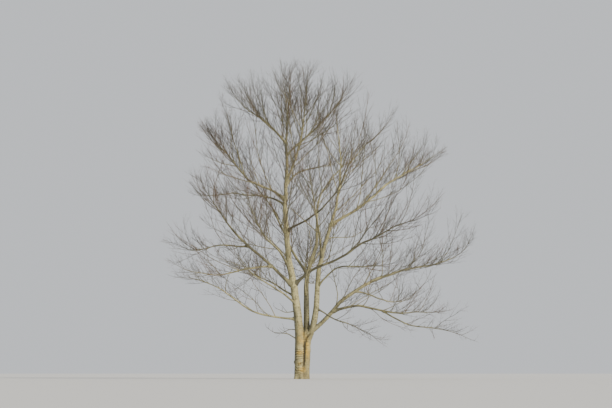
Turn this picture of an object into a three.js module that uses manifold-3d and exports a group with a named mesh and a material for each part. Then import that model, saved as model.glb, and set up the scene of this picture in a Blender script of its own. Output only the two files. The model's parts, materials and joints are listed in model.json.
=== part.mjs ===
// A bare winter tree, 14 m tall: a short bole of two stems grown together, three steep
// leaders and a low right limb, the side boughs that they carry, and at the end of each
// limb a mass of twigs that branches by a repeatable rule.
//
// Sizes are in millimetres and angles in degrees. +Z is up, the ground is Z = 0, +X is to
// the right of a viewer in front of the tree, and the viewer looks along +Y.
// A heading runs 0 right, 90 back, 180 left, 270 front. A rise is measured above level.
import * as THREE from "three";
import Module from "manifold-3d";

const wasm = await Module();
wasm.setup();

const CLEARANCE = 0.3; // gap between a solid and the one that carries it
const BARK_COLOUR = 0x8f8467;
const TWIG_COLOUR = 0x6b6152;

// The bole. Each stem tapers evenly up to its top and flares out towards the ground.
const BOLE_SIDES = 12;
const BOLE_LEVELS = [0, 100, 260, 550, 1000, 1500];
const FLARE_HEIGHT = 150;
const FLUTE_COUNT = 5; // root swellings round each stem, which fade out upwards
const FLUTE_DEPTH = 0.14;
const LEFT_STEM = { foot: [-75, 0], head: [-90, -20], low: 240, high: 205, flare: 40 };
const RIGHT_STEM = { foot: [125, 25], head: [185, 25], low: 180, high: 185, flare: 10 };
const FORK = { levels: [1500, 1800, 1960, 2060], radii: [185, 178, 150, 90] };
// The swelling that carries the back leader out of the bole, from inside it.
const BACK_ROOT = { limb: "middle_leader", foot: [150, 40, 800], radius: 70 };

// Limbs. "heading" and "rise" are spread evenly along the limb, "at" is the distance along
// the limb that it leaves, "bare" the length of the bough before its twigs start, "girth"
// the thickness at the foot and "tip" that at the end of the bough, and "vigour" sets how
// long its shoots are. The limbs with a foot stand in the bole, and "stub" is the length of
// each that is one piece with it.
const STEP = 400; // length of one straight run of a limb
const LEAST_RUN = 0.2; // shortest run that a cut limb is left with, as a share of a run
const FEWEST_RUNS = 6;
const WANDER = 5; // how far each run may stray from the limb's line
const TWIG_END = 6; // thickness at the end of a limb's last twig
const LIMBS = [
  { name: "left_leader", foot: [-90, -20, 1500], stub: 850, heading: [180],
    rise: [88, 83, 80, 77, 84, 86, 93, 95, 87, 90, 95, 89, 83], length: 12300, bare: 9000,
    girth: 400, tip: 100, vigour: 1.15 },
  { name: "middle_leader", foot: [190, 120, 1500], stub: 850, heading: [70, 40, 10, 30, 30, 34],
    rise: [89, 91, 90, 78, 68, 91, 88, 55, 46, 48, 52, 62], length: 10800, bare: 6400,
    girth: 300, tip: 80, vigour: 1.1 },
  { name: "right_leader", foot: [190, -20, 1500], stub: 1100, heading: [0],
    rise: [64, 75, 85, 90, 78, 76, 72, 79, 80, 85, 96, 98, 95, 90], length: 11200, bare: 7200,
    girth: 300, tip: 85, vigour: 1.15 },
  { name: "low_right", foot: [220, -60, 1830], stub: 850, heading: [0, 4, 10],
    rise: [36, 42, 54, 34, 28, 18, 20, 8, 13, 28, 56, 66], length: 9000, bare: 4600,
    girth: 200, tip: 105, vigour: 1 },
  { name: "left_sweep", on: "left_leader", at: 2400, heading: [188, 196],
    rise: [37, 44, 39, 35, 39, 49, 52, 54, 57, 58], length: 6400, bare: 3600,
    girth: 150, tip: 90, vigour: 1 },
  { name: "left_reach", on: "left_sweep", at: 2600, heading: [172, 166],
    rise: [-8, 6, 4, -17, -4, 24, 24, 22], length: 4000, bare: 1500,
    girth: 80, tip: 56, vigour: 0.75 },
  { name: "left_trail", on: "left_sweep", at: 1250, heading: [202, 208],
    rise: [-2, -12, -16, -9, -1, 8, 28, 36], length: 4900, bare: 1900,
    girth: 90, tip: 62, vigour: 0.8 },
  { name: "front_left", on: "left_leader", at: 2750, heading: [238, 236],
    rise: [50, 52, 26, 22, 50, 56, 62, 66], length: 5400, bare: 2400,
    girth: 120, tip: 72, vigour: 1 },
  { name: "upper_left", on: "left_leader", at: 6200, heading: [167, 158],
    rise: [44, 26, 28, 50, 54, 46, 54, 66], length: 5500, bare: 2500,
    girth: 120, tip: 80, vigour: 1.25 },
  { name: "level_left", on: "left_leader", at: 5980, heading: [152, 148],
    rise: [34, 20, 8, 12, 4, 2, 10, 32], length: 5600, bare: 2500,
    girth: 90, tip: 62, vigour: 0.8 },
  { name: "lowest_left", on: "left_leader", at: 1000, heading: [184, 194],
    rise: [2, 6, 20, 34, 30, 24, 0, 24], length: 6000, bare: 3200,
    girth: 90, tip: 60, vigour: 0.7 },
  { name: "back_left_low", on: "left_leader", at: 1950, heading: [132, 124],
    rise: [24, 26, 18, 22, 38, 50], length: 5200, bare: 2200,
    girth: 90, tip: 60, vigour: 0.9 },
  { name: "back_right_high", on: "left_leader", at: 6800, heading: [35, 42],
    rise: [58, 34, 14, 20, 36, 50], length: 4900, bare: 1900,
    girth: 90, tip: 64, vigour: 0.95 },
  { name: "top_left", on: "left_leader", at: 8750, heading: [194, 206],
    rise: [50, 42, 28, 26, 44, 66], length: 3550, bare: 1000,
    girth: 80, tip: 64, vigour: 1.1 },
  { name: "top_right", on: "left_leader", at: 8200, heading: [350, 345],
    rise: [50, 36, 42, 50, 62, 76], length: 4600, bare: 1800,
    girth: 90, tip: 68, vigour: 1.1 },
  { name: "mid_right", on: "left_leader", at: 4800, heading: [322, 330],
    rise: [31, 13, 23, 28, 38, 42, 39, 39, 42, 45], length: 5200, bare: 2400,
    girth: 100, tip: 66, vigour: 0.95 },
  { name: "front_cross", on: "left_leader", at: 2450, heading: [334, 338],
    rise: [37, 36, 28, 12, 18, 34, 27, 20, 32, 22, 7, 14, 21, 28], length: 7200, bare: 3800,
    girth: 130, tip: 80, vigour: 1.05 },
  { name: "front_right", on: "right_leader", at: 2420, heading: [322, 330],
    rise: [44, 38, 16, -10, -8, 2, 14, 36], length: 4700, bare: 2200,
    girth: 80, tip: 56, vigour: 0.75 },
  { name: "front_rise", on: "right_leader", at: 3700, heading: [262, 256],
    rise: [46, 48, 48, 56, 70], length: 5400, bare: 2200,
    girth: 100, tip: 68, vigour: 1 },
  { name: "back_left", on: "middle_leader", at: 2950, heading: [156, 150],
    rise: [48, 58, 68, 64, 52, 48, 50, 58], length: 7000, bare: 3400,
    girth: 130, tip: 82, vigour: 1.1 },
  { name: "upper_right", on: "right_leader", at: 5200, heading: [8, 22],
    rise: [30, 30, 42, 45, 28, 29, 34, 40], length: 6900, bare: 3400,
    girth: 130, tip: 90, vigour: 1.15 },
  { name: "hanging_right", on: "right_leader", at: 1500, heading: [328, 322],
    rise: [-24, -30, -15, -25, -30, 20], length: 3900, bare: 1700,
    girth: 70, tip: 46, vigour: 0.55 },
  { name: "lower_right", on: "low_right", at: 1460, heading: [338, 345],
    rise: [15, 11, -12, -12, 1, 1, 4, 26], length: 5300, bare: 2550,
    girth: 120, tip: 74, vigour: 0.8 },
  { name: "lowest_right", on: "lower_right", at: 2250, heading: [352, 356],
    rise: [-34, -30, -14, -4, -14, -26, -22], length: 4150, bare: 1700,
    girth: 70, tip: 50, vigour: 0.6 },
  { name: "back_right_low", on: "low_right", at: 2750, heading: [44, 48],
    rise: [0, -8, -6, 6, 26, 40], length: 5000, bare: 2200,
    girth: 80, tip: 56, vigour: 0.85 },
  { name: "back_low", on: "middle_leader", at: 2100, heading: [92, 84],
    rise: [34, 26, 24, 30, 46, 56], length: 6600, bare: 3000,
    girth: 110, tip: 70, vigour: 1 },
  { name: "back_right", on: "right_leader", at: 6600, heading: [34, 30],
    rise: [68, 68, 52, 42, 42, 56], length: 4600, bare: 1900,
    girth: 85, tip: 66, vigour: 1.1 },
  { name: "front_high", on: "left_leader", at: 7000, heading: [310, 290, 275],
    rise: [50, 56, 62, 68, 76], length: 5200, bare: 2000,
    girth: 100, tip: 72, vigour: 1.15 },
  { name: "front_left_low", on: "left_leader", at: 1600, heading: [240, 232],
    rise: [24, 18, 14, 22, 40, 52], length: 5400, bare: 2300,
    girth: 90, tip: 62, vigour: 0.9 },
];

// Twigs. Along each stem a shoot grows at every slot and along each shoot a twig, turned
// round its parent by the golden share of a turn from one slot to the next. These solids
// keep one slot in "keep", and the rest of the crown's finer twigs repeat the same rule.
// "first" is the distance of the first kept slot from the parent's foot and "gap" that
// between two, "length" that of the first twig, "spread" the angle from the parent, "lift"
// how much a metre of the twig bends up, and "slender" its thickness for its length.
const GOLDEN_SHARE = 0.618034;
const STRAY_SHARE = 0.2; // how far a twig's turn may be from the golden one
const ORDERS = [
  { gap: 380, first: 180, keep: 4, pick: 1, length: 2050, spread: 36, lift: 0.42,
    thickness: 8, slender: 0.014, runs: 2 },
  { gap: 450, first: 330, keep: 5, pick: 2, length: 760, spread: 32, lift: 0.35,
    thickness: 7, slender: 0.014, runs: 1 },
];
const UNDERSIDE = 130; // angle from straight up beyond which a level limb bears nothing
const SHORTEN = 0.7; // how much shorter the last shoot of a stem is than its first
const VARY = 0.35; // how far a shoot's length may be from the rule's
const VARY_ANGLE = 0.25;
const SWAY = 0.1; // how far each run of a twig may turn aside
const TRIMS = [1, 0.75, 0.5]; // shares of its length that a twig is tried at
const STEM_SIDES = 4;
const TWIG_SIDES = 3;
const LIMB_TAPER = 0.85; // below 1 a limb thins faster near its foot
const TWIG_TAPER = 0.75;
const BORE_SHARE = 0.75; // thickest that a twig may be, as a share of its parent there
const PROBE = 70; // spacing of the points at which a twig's way is tried
const SPACE_MARGIN = 60; // least difference in distance to the twig's own stem and another
const LIMB_MARGIN = 45; // room that a twig leaves round every limb

const UP = new THREE.Vector3(0, 0, 1);

// A number from 0 to 1 that depends on whole numbers alone, so the same twig always gets
// the same one.
function chance(...keys) {
  let hash = 2166136261;
  for (const key of keys) {
    hash = Math.imul(hash ^ key, 16777619);
    hash ^= hash >>> 13;
  }
  hash = Math.imul(hash, 2246822519);
  hash ^= hash >>> 15;
  hash = Math.imul(hash, 3266489917);
  hash ^= hash >>> 16;
  return (hash >>> 0) / 4294967296;
}

function spread(...keys) {
  return 2 * chance(...keys) - 1;
}

// The value at the share t of an evenly spaced list.
function profile(values, t) {
  if (values.length === 1) {
    return values[0];
  }
  const place = t * (values.length - 1);
  const index = Math.min(Math.floor(place), values.length - 2);
  return THREE.MathUtils.lerp(values[index], values[index + 1], place - index);
}

function bearing(heading, rise) {
  const azimuth = THREE.MathUtils.degToRad(heading);
  const height = THREE.MathUtils.degToRad(rise);
  return new THREE.Vector3(
    Math.cos(height) * Math.cos(azimuth),
    Math.cos(height) * Math.sin(azimuth),
    Math.sin(height),
  );
}

// Limb paths

function limbPath(limb, index, start) {
  const runs = Math.max(FEWEST_RUNS, Math.round(limb.length / STEP));
  const points = [start.clone()];
  for (let run = 0; run < runs; run += 1) {
    const t = (run + 0.5) / runs;
    const stray = WANDER * Math.min(1, 4 * t);
    const heading = profile(limb.heading, t) + stray * spread(index, run, 1);
    const rise = profile(limb.rise, t) + stray * spread(index, run, 2);
    const move = bearing(heading, rise).multiplyScalar(limb.length / runs);
    points.push(points[run].clone().add(move));
  }
  return points;
}

// The point, the direction and the run at a distance along a path of equal runs.
function placeAlong(path, runLength, distance) {
  const run = THREE.MathUtils.clamp(Math.floor(distance / runLength), 0, path.length - 2);
  const direction = path[run + 1].clone().sub(path[run]).normalize();
  const point = path[run].clone().addScaledVector(direction, distance - run * runLength);
  return { point, direction, run };
}

function limbRadius(limb, distance) {
  if (distance < limb.bare) {
    const t = (distance / limb.bare) ** LIMB_TAPER;
    return THREE.MathUtils.lerp(limb.girth, limb.tip, t) / 2;
  }
  const t = ((distance - limb.bare) / (limb.length - limb.bare)) ** LIMB_TAPER;
  return THREE.MathUtils.lerp(limb.tip, TWIG_END, Math.min(t, 1)) / 2;
}

function growLimbs() {
  const grown = new Map();
  LIMBS.forEach((entry, index) => {
    const parent = grown.get(entry.on);
    const start = parent
      ? placeAlong(parent.path, parent.run, entry.at).point
      : new THREE.Vector3(...entry.foot);
    const path = limbPath(entry, index, start);
    const run = entry.length / (path.length - 1);
    const middle = bearing(profile(entry.heading, 0.5), 0);
    const across = new THREE.Vector3(-middle.y, middle.x, 0);
    grown.set(entry.name, { ...entry, index, parent, path, run, across });
  });
  return [...grown.values()];
}

// Solids from rings of points

function makeSolid(vertices, triangles) {
  const vertProperties = new Float32Array(vertices.flatMap((point) => point.toArray()));
  const triVerts = new Uint32Array(triangles);
  const mesh = new wasm.Mesh({ numProp: 3, vertProperties, triVerts });
  return new wasm.Manifold(mesh);
}

// A closed solid through rings of equal count. A last ring of one point is a sharp end.
function loft(rings) {
  const sides = rings[0].length;
  const vertices = rings.flat();
  const triangles = [];
  for (let level = 0; level < rings.length - 1; level += 1) {
    const low = level * sides;
    const high = low + sides;
    const pointed = rings[level + 1].length === 1;
    for (let side = 0; side < sides; side += 1) {
      const next = (side + 1) % sides;
      if (pointed) {
        triangles.push(low + side, low + next, high);
      } else {
        triangles.push(low + side, low + next, high + next);
        triangles.push(low + side, high + next, high + side);
      }
    }
  }
  const last = vertices.length - sides;
  for (let side = 1; side < sides - 1; side += 1) {
    triangles.push(0, side + 1, side);
    if (rings.at(-1).length === sides) {
      triangles.push(last, last + side, last + side + 1);
    }
  }
  return makeSolid(vertices, triangles);
}

// A ring square to a direction. "across" fixes where its first point falls.
function ring(centre, direction, across, radius, sides) {
  const second = direction.clone().cross(across).normalize();
  const first = second.clone().cross(direction);
  return Array.from({ length: sides }, (_, side) => {
    const turn = (2 * Math.PI * side) / sides;
    return centre.clone()
      .addScaledVector(first, radius * Math.cos(turn))
      .addScaledVector(second, radius * Math.sin(turn));
  });
}

// The stretch of a limb from one distance to another, as the rings of a tapering tube.
function limbRings(limb, from, to, sides, grow = 0) {
  const rings = [];
  const place = (distance, direction) => {
    const { point } = placeAlong(limb.path, limb.run, distance);
    rings.push(ring(point, direction, limb.across, limbRadius(limb, distance) + grow, sides));
  };
  place(from, placeAlong(limb.path, limb.run, from).direction);
  for (let index = 1; index < limb.path.length - 1; index += 1) {
    const distance = index * limb.run;
    const room = LEAST_RUN * limb.run;
    if (distance > from + room && distance < to - room) {
      place(distance, limb.path[index + 1].clone().sub(limb.path[index - 1]).normalize());
    }
  }
  place(to, placeAlong(limb.path, limb.run, to).direction);
  return rings;
}

function boughSides(limb) {
  if (limb.girth >= 250) {
    return 9;
  }
  return limb.girth >= 120 ? 7 : 6;
}

// Trunk and boughs

function stemRings(stem) {
  const top = BOLE_LEVELS.at(-1);
  return BOLE_LEVELS.map((level) => {
    const t = level / top;
    const fade = Math.exp(-level / FLARE_HEIGHT);
    const x = THREE.MathUtils.lerp(stem.foot[0], stem.head[0], t);
    const y = THREE.MathUtils.lerp(stem.foot[1], stem.head[1], t);
    const radius = THREE.MathUtils.lerp(stem.low, stem.high, t) + stem.flare * fade;
    return Array.from({ length: BOLE_SIDES }, (_, side) => {
      const turn = (2 * Math.PI * side) / BOLE_SIDES;
      const reach = radius * (1 + FLUTE_DEPTH * fade * Math.cos(FLUTE_COUNT * turn));
      return new THREE.Vector3(x + reach * Math.cos(turn), y + reach * Math.sin(turn), level);
    });
  });
}

function forkRings() {
  const [x, y] = RIGHT_STEM.head;
  const across = new THREE.Vector3(1, 0, 0);
  return FORK.levels.map((level, index) => (
    ring(new THREE.Vector3(x, y, level), UP, across, FORK.radii[index], BOLE_SIDES)
  ));
}

function backRootRings(limb) {
  const sides = boughSides(limb);
  return [
    ring(new THREE.Vector3(...BACK_ROOT.foot), UP, limb.across, BACK_ROOT.radius, sides),
    ring(limb.path[0], UP, limb.across, limbRadius(limb, 0), sides),
  ];
}

function makeTrunk(limbs) {
  const pieces = [loft(stemRings(LEFT_STEM)), loft(stemRings(RIGHT_STEM)), loft(forkRings())];
  pieces.push(loft(backRootRings(limbs.find((limb) => limb.name === BACK_ROOT.limb))));
  for (const limb of limbs.filter((entry) => entry.foot)) {
    pieces.push(loft(limbRings(limb, 0, limb.stub, boughSides(limb))));
  }
  return wasm.Manifold.union(pieces);
}

function boughStart(limb) {
  return limb.parent ? 0 : limb.stub + CLEARANCE;
}

// A bough that leaves another starts on that one's axis and is cut clear of its surface.
function makeBough(limb) {
  const whole = loft(limbRings(limb, boughStart(limb), limb.bare, boughSides(limb)));
  if (!limb.parent) {
    return whole;
  }
  const { parent } = limb;
  const sides = boughSides(parent);
  const grow = CLEARANCE / Math.cos(Math.PI / sides);
  const carrier = loft(limbRings(parent, boughStart(parent), parent.bare, sides, grow));
  return largestBody(whole.subtract(carrier));
}

function largestBody(solid) {
  const bodies = solid.decompose();
  return bodies.reduce((best, body) => (body.volume() > best.volume() ? body : best));
}

// Twigs

// Points along every bough with its radius there, and along every stem, for trying a way.
function samplePlaces(limbs) {
  const boughs = [];
  const stems = [];
  for (const limb of limbs) {
    for (let distance = 0; distance < limb.length; distance += PROBE) {
      const { point } = placeAlong(limb.path, limb.run, distance);
      if (distance < limb.bare) {
        boughs.push({ point, radius: limbRadius(limb, distance) });
      } else {
        stems.push({ point, owner: limb.index });
      }
    }
  }
  return { boughs, stems };
}

function isFree(point, radius, owner, places) {
  let own = Infinity;
  let other = Infinity;
  for (const stem of places.stems) {
    const distance = stem.point.distanceTo(point);
    if (stem.owner === owner) {
      own = Math.min(own, distance);
    } else {
      other = Math.min(other, distance);
    }
  }
  const nearLimb = places.boughs.some((bough) => (
    bough.point.distanceTo(point) < bough.radius + radius + LIMB_MARGIN
  ));
  return !nearLimb && own + SPACE_MARGIN < other;
}

// True where a twig's whole way is in its own space and clear of the limbs.
function wayIsFree(points, radius, owner, places) {
  for (let index = 0; index < points.length - 1; index += 1) {
    const length = points[index].distanceTo(points[index + 1]);
    const tries = Math.ceil(length / PROBE);
    for (let step = 1; step <= tries; step += 1) {
      const point = points[index].clone().lerp(points[index + 1], step / tries);
      const atRoot = index === 0 && step === 1;
      if (!atRoot && !isFree(point, radius, owner, places)) {
        return false;
      }
    }
  }
  return true;
}

// The direction in which the twig of a slot leaves its parent.
function twigDirection(parentDirection, slot, order, keys) {
  const level = new THREE.Vector3().crossVectors(parentDirection, UP).normalize();
  const upper = new THREE.Vector3().crossVectors(level, parentDirection);
  const steep = parentDirection.z ** 2;
  const first = chance(...keys.slice(0, -1), 3);
  const share = (first + slot * GOLDEN_SHARE + STRAY_SHARE * chance(...keys, 3)) % 1;
  const range = THREE.MathUtils.lerp(UNDERSIDE, 180, steep);
  const turn = THREE.MathUtils.degToRad(range * (2 * share - 1));
  const angle = THREE.MathUtils.degToRad(order.spread * (1 + VARY_ANGLE * spread(...keys, 4)));
  return parentDirection.clone().multiplyScalar(Math.cos(angle))
    .addScaledVector(upper, Math.sin(angle) * Math.cos(turn))
    .addScaledVector(level, Math.sin(angle) * Math.sin(turn));
}

// One twig: a path of equal runs that bends up as it goes.
function growTwig(start, direction, length, order, keys) {
  const points = [start.clone()];
  const heading = direction.clone();
  for (let run = 0; run < order.runs; run += 1) {
    heading.z += (order.lift * length) / 1000 / order.runs;
    heading.x += SWAY * spread(...keys, 10 + run);
    heading.y += SWAY * spread(...keys, 20 + run);
    heading.normalize();
    points.push(points[run].clone().addScaledVector(heading, length / order.runs));
  }
  return points;
}

function twigRadius(radius, share) {
  return radius * (1 - TWIG_TAPER * share);
}

function twigSolid(points, radius) {
  const first = points[1].clone().sub(points[0]).normalize();
  const across = Math.abs(first.z) > 0.7 ? new THREE.Vector3(1, 0, 0) : UP;
  const last = points.length - 1;
  const rings = points.map((point, index) => {
    if (index === last) {
      return [point];
    }
    const back = points[Math.max(index - 1, 0)];
    const chord = points[index + 1].clone().sub(back).normalize();
    return ring(point, chord, across, twigRadius(radius, index / last), TWIG_SIDES);
  });
  return loft(rings);
}

// The longest way that a twig of one slot can take, or nothing where it has no room.
function findWay(start, direction, length, radius, order, keys, owner, places) {
  for (const share of TRIMS) {
    const path = growTwig(start, direction, share * length, order, keys);
    if (wayIsFree(path, radius, owner, places)) {
      return { path, length: share * length };
    }
  }
  return null;
}

// All twigs of one order along a parent, and theirs in turn.
function growOrder(parent, depth, owner, places) {
  const order = ORDERS[depth];
  const solids = [];
  if (!order) {
    return solids;
  }
  let slot = order.pick;
  for (let s = parent.from + order.first; s < parent.length - order.gap; s += order.gap) {
    const keys = [...parent.keys, slot];
    const t = (s - parent.from) / (parent.length - parent.from);
    const wanted = order.length * parent.vigour * (1 - SHORTEN * t) * (1 + VARY * spread(...keys, 5));
    const { point, direction } = placeAlong(parent.path, parent.run, s);
    const radius = Math.min(
      (order.thickness + order.slender * wanted) / 2,
      BORE_SHARE * parent.radiusAt(s),
    );
    const outwards = twigDirection(direction, slot, order, keys);
    const way = findWay(point, outwards, wanted, radius, order, keys, owner, places);
    if (way) {
      const twig = {
        path: way.path, keys, length: way.length, run: way.length / order.runs, from: 0,
        vigour: parent.vigour, radiusAt: (along) => twigRadius(radius, along / way.length),
      };
      solids.push(twigSolid(way.path, radius), ...growOrder(twig, depth + 1, owner, places));
    }
    slot += order.keep;
  }
  return solids;
}

function makeMass(limb, places) {
  const rings = limbRings(limb, limb.bare, limb.length, STEM_SIDES);
  const { direction } = placeAlong(limb.path, limb.run, limb.bare);
  rings[0].forEach((point) => point.addScaledVector(direction, CLEARANCE));
  rings[rings.length - 1] = [limb.path.at(-1)];
  const stem = {
    path: limb.path, keys: [limb.index], run: limb.run, from: limb.bare, length: limb.length,
    vigour: limb.vigour, radiusAt: (distance) => limbRadius(limb, distance),
  };
  const twigs = growOrder(stem, 0, limb.index, places);
  return wasm.Manifold.union([loft(rings), ...twigs]);
}

// Meshes

function addMesh(group, name, solid, colour, roughness) {
  const mesh = solid.getMesh();
  const geometry = new THREE.BufferGeometry();
  geometry.setAttribute("position", new THREE.BufferAttribute(mesh.vertProperties, 3));
  geometry.setIndex(new THREE.BufferAttribute(mesh.triVerts, 1));
  geometry.computeVertexNormals();
  const material = new THREE.MeshStandardMaterial({ color: colour, roughness, metalness: 0 });
  const node = new THREE.Mesh(geometry, material);
  node.name = name;
  group.add(node);
}

const group = new THREE.Group();
group.name = "winter_tree";
const limbs = growLimbs();
const places = samplePlaces(limbs);
addMesh(group, "trunk", makeTrunk(limbs), BARK_COLOUR, 0.9);
for (const limb of limbs) {
  addMesh(group, limb.name, makeBough(limb), BARK_COLOUR, 0.9);
  addMesh(group, `${limb.name}_twigs`, makeMass(limb, places), TWIG_COLOUR, 0.95);
}

export default group;
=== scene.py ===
"""A bare winter tree, 14 m tall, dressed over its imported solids.

The limbs and twigs are grown by the same rule as the solids, in millimetres and degrees:
heading 0 is right, 90 back, 180 left and 270 front, and a rise is measured above level.
The meshes are in metres, in the frame's own place.
"""
import functools
import json
import math

import bmesh
import bpy
import numpy as np
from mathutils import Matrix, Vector

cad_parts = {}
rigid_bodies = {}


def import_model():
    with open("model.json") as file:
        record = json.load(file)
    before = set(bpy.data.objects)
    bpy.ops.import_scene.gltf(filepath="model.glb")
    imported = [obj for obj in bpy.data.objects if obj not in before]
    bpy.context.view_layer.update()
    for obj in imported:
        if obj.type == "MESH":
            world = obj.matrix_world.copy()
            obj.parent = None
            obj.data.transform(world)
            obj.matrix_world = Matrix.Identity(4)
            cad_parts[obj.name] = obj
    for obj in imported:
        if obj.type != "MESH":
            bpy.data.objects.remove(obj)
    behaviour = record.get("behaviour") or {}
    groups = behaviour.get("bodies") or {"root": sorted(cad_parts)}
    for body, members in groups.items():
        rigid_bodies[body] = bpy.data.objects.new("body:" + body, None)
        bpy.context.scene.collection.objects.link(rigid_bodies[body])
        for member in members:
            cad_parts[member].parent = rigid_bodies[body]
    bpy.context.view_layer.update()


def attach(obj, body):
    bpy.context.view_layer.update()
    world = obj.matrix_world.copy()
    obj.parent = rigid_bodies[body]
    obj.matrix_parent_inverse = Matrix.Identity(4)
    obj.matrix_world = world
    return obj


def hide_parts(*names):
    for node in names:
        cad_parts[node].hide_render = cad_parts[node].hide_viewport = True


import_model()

bl_info = {
    "name": "Bare winter tree",
    "version": (1, 0, 0),
    "blender": (4, 5, 0),
    "location": "View3D > Sidebar > Tree",
    "description": "Bark, twigs and buds of a bare winter tree on a two-stemmed bole",
    "category": "Object",
}

METRE = 0.001  # metres in a millimetre
UP = np.array([0.0, 0.0, 1.0])

# The bole, as its solid has it.
FLARE_HEIGHT = 150
FLUTE_COUNT = 5
FLUTE_DEPTH = 0.14
BOLE_TOP = 1500
LEFT_STEM = {"foot": (-75, 0), "head": (-90, -20), "low": 240, "high": 205, "flare": 40}
RIGHT_STEM = {"foot": (125, 25), "head": (185, 25), "low": 180, "high": 185, "flare": 10}
FORK = [(1400, 185), (1500, 185), (1650, 183), (1800, 176), (1960, 150), (2060, 90)]
BACK_ROOT = {"limb": "middle_leader", "foot": (150, 40, 800), "radius": 70, "runs": 8}

# The bole's skin. It starts below ground, where it is cut off again.
FOOT_FILL = {"foot": (70, -95), "radii": (128, 60), "top": 620}  # closes the foot's crease
BELOW = -120
STUB_THINS = 260  # length over which a leader's stub sinks into the leader's own bark
STEM_SIDES = 48
ROOT_SIDES = 32

# The groove between the bole's two stems, as x and height on the front. It comes down from
# under the low right limb.
SEAM = [(330, 1840), (235, 1750), (160, 1640), (118, 1450), (104, 1000), (70, 560), (44, 240)]
SEAM_WIDTH = 50
SEAM_DEPTH = 40
SEAM_WANDER = 14
# Stacks of folded rings on the left stem: middle height and half the height of each.
RING_STACKS = [(330, 190), (1000, 270)]
RING_GAP = 98
RING_HEIGHT = 10
# Swellings, and hollows below zero, on the bole: place, size and height.
BURRS = [(-300, -60, 700, 80, 42), (-150, -235, 600, 62, -24), (-40, -235, 640, 52, -18),
         (-215, -150, 1330, 70, 20), (300, -60, 1150, 80, 22), (60, -215, 1560, 60, 18)]

# Bark of the leaders and boughs: sides and spacing of the rings of their meshes.
LEADER_MESH = (36, 26)
BOUGH_MESH = (18, 34)
COLLAR = 0.55  # how much thicker a bough is where it leaves its carrier
DIP = 420  # length over which a leader's bark lies inside the bole's

# The bark's tone runs from 0, cream, to 1, olive. It is painted light and shade: lit bark is
# cream and shaded bark olive.
BOLE_TONE = 0.66
EDGE_SHADE = 0.8  # painted shade: how much darker the bark is painted on the sides that face from the light
# the same painted shade on the boughs' sides that face from the light
BOUGH_EDGE_SHADE = 0.4
MEAN_SHADE = 0.3
LIGHT_SIDE = (0.5, -0.86, 0.1)  # the side that faces the light, where painted light leaves the bark palest
FORK_SHADE = (185, 60, 2280, 200)  # painted shade in the fork: place and half width
# Patches of painted golden sunlight on the front: across, height, half width and half height.
SUN_PATCHES = [(20, 1730, 170, 220), (-90, 1080, 120, 90), (10, 390, 120, 80), (-70, 2400, 90, 450),
        (240, 1250, 60, 330), (-110, 640, 60, 50)]
# Leaders whose painted tone changes on the way up: the foot's, and the shares of the bare length
# between which it turns. The middle leader's foot has painted shade, the left leader's painted light.
FOOT_TONES = {"left_leader": (0.2, 0.65, 0.85), "middle_leader": (1.4, 0.35, 0.6)}
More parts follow.
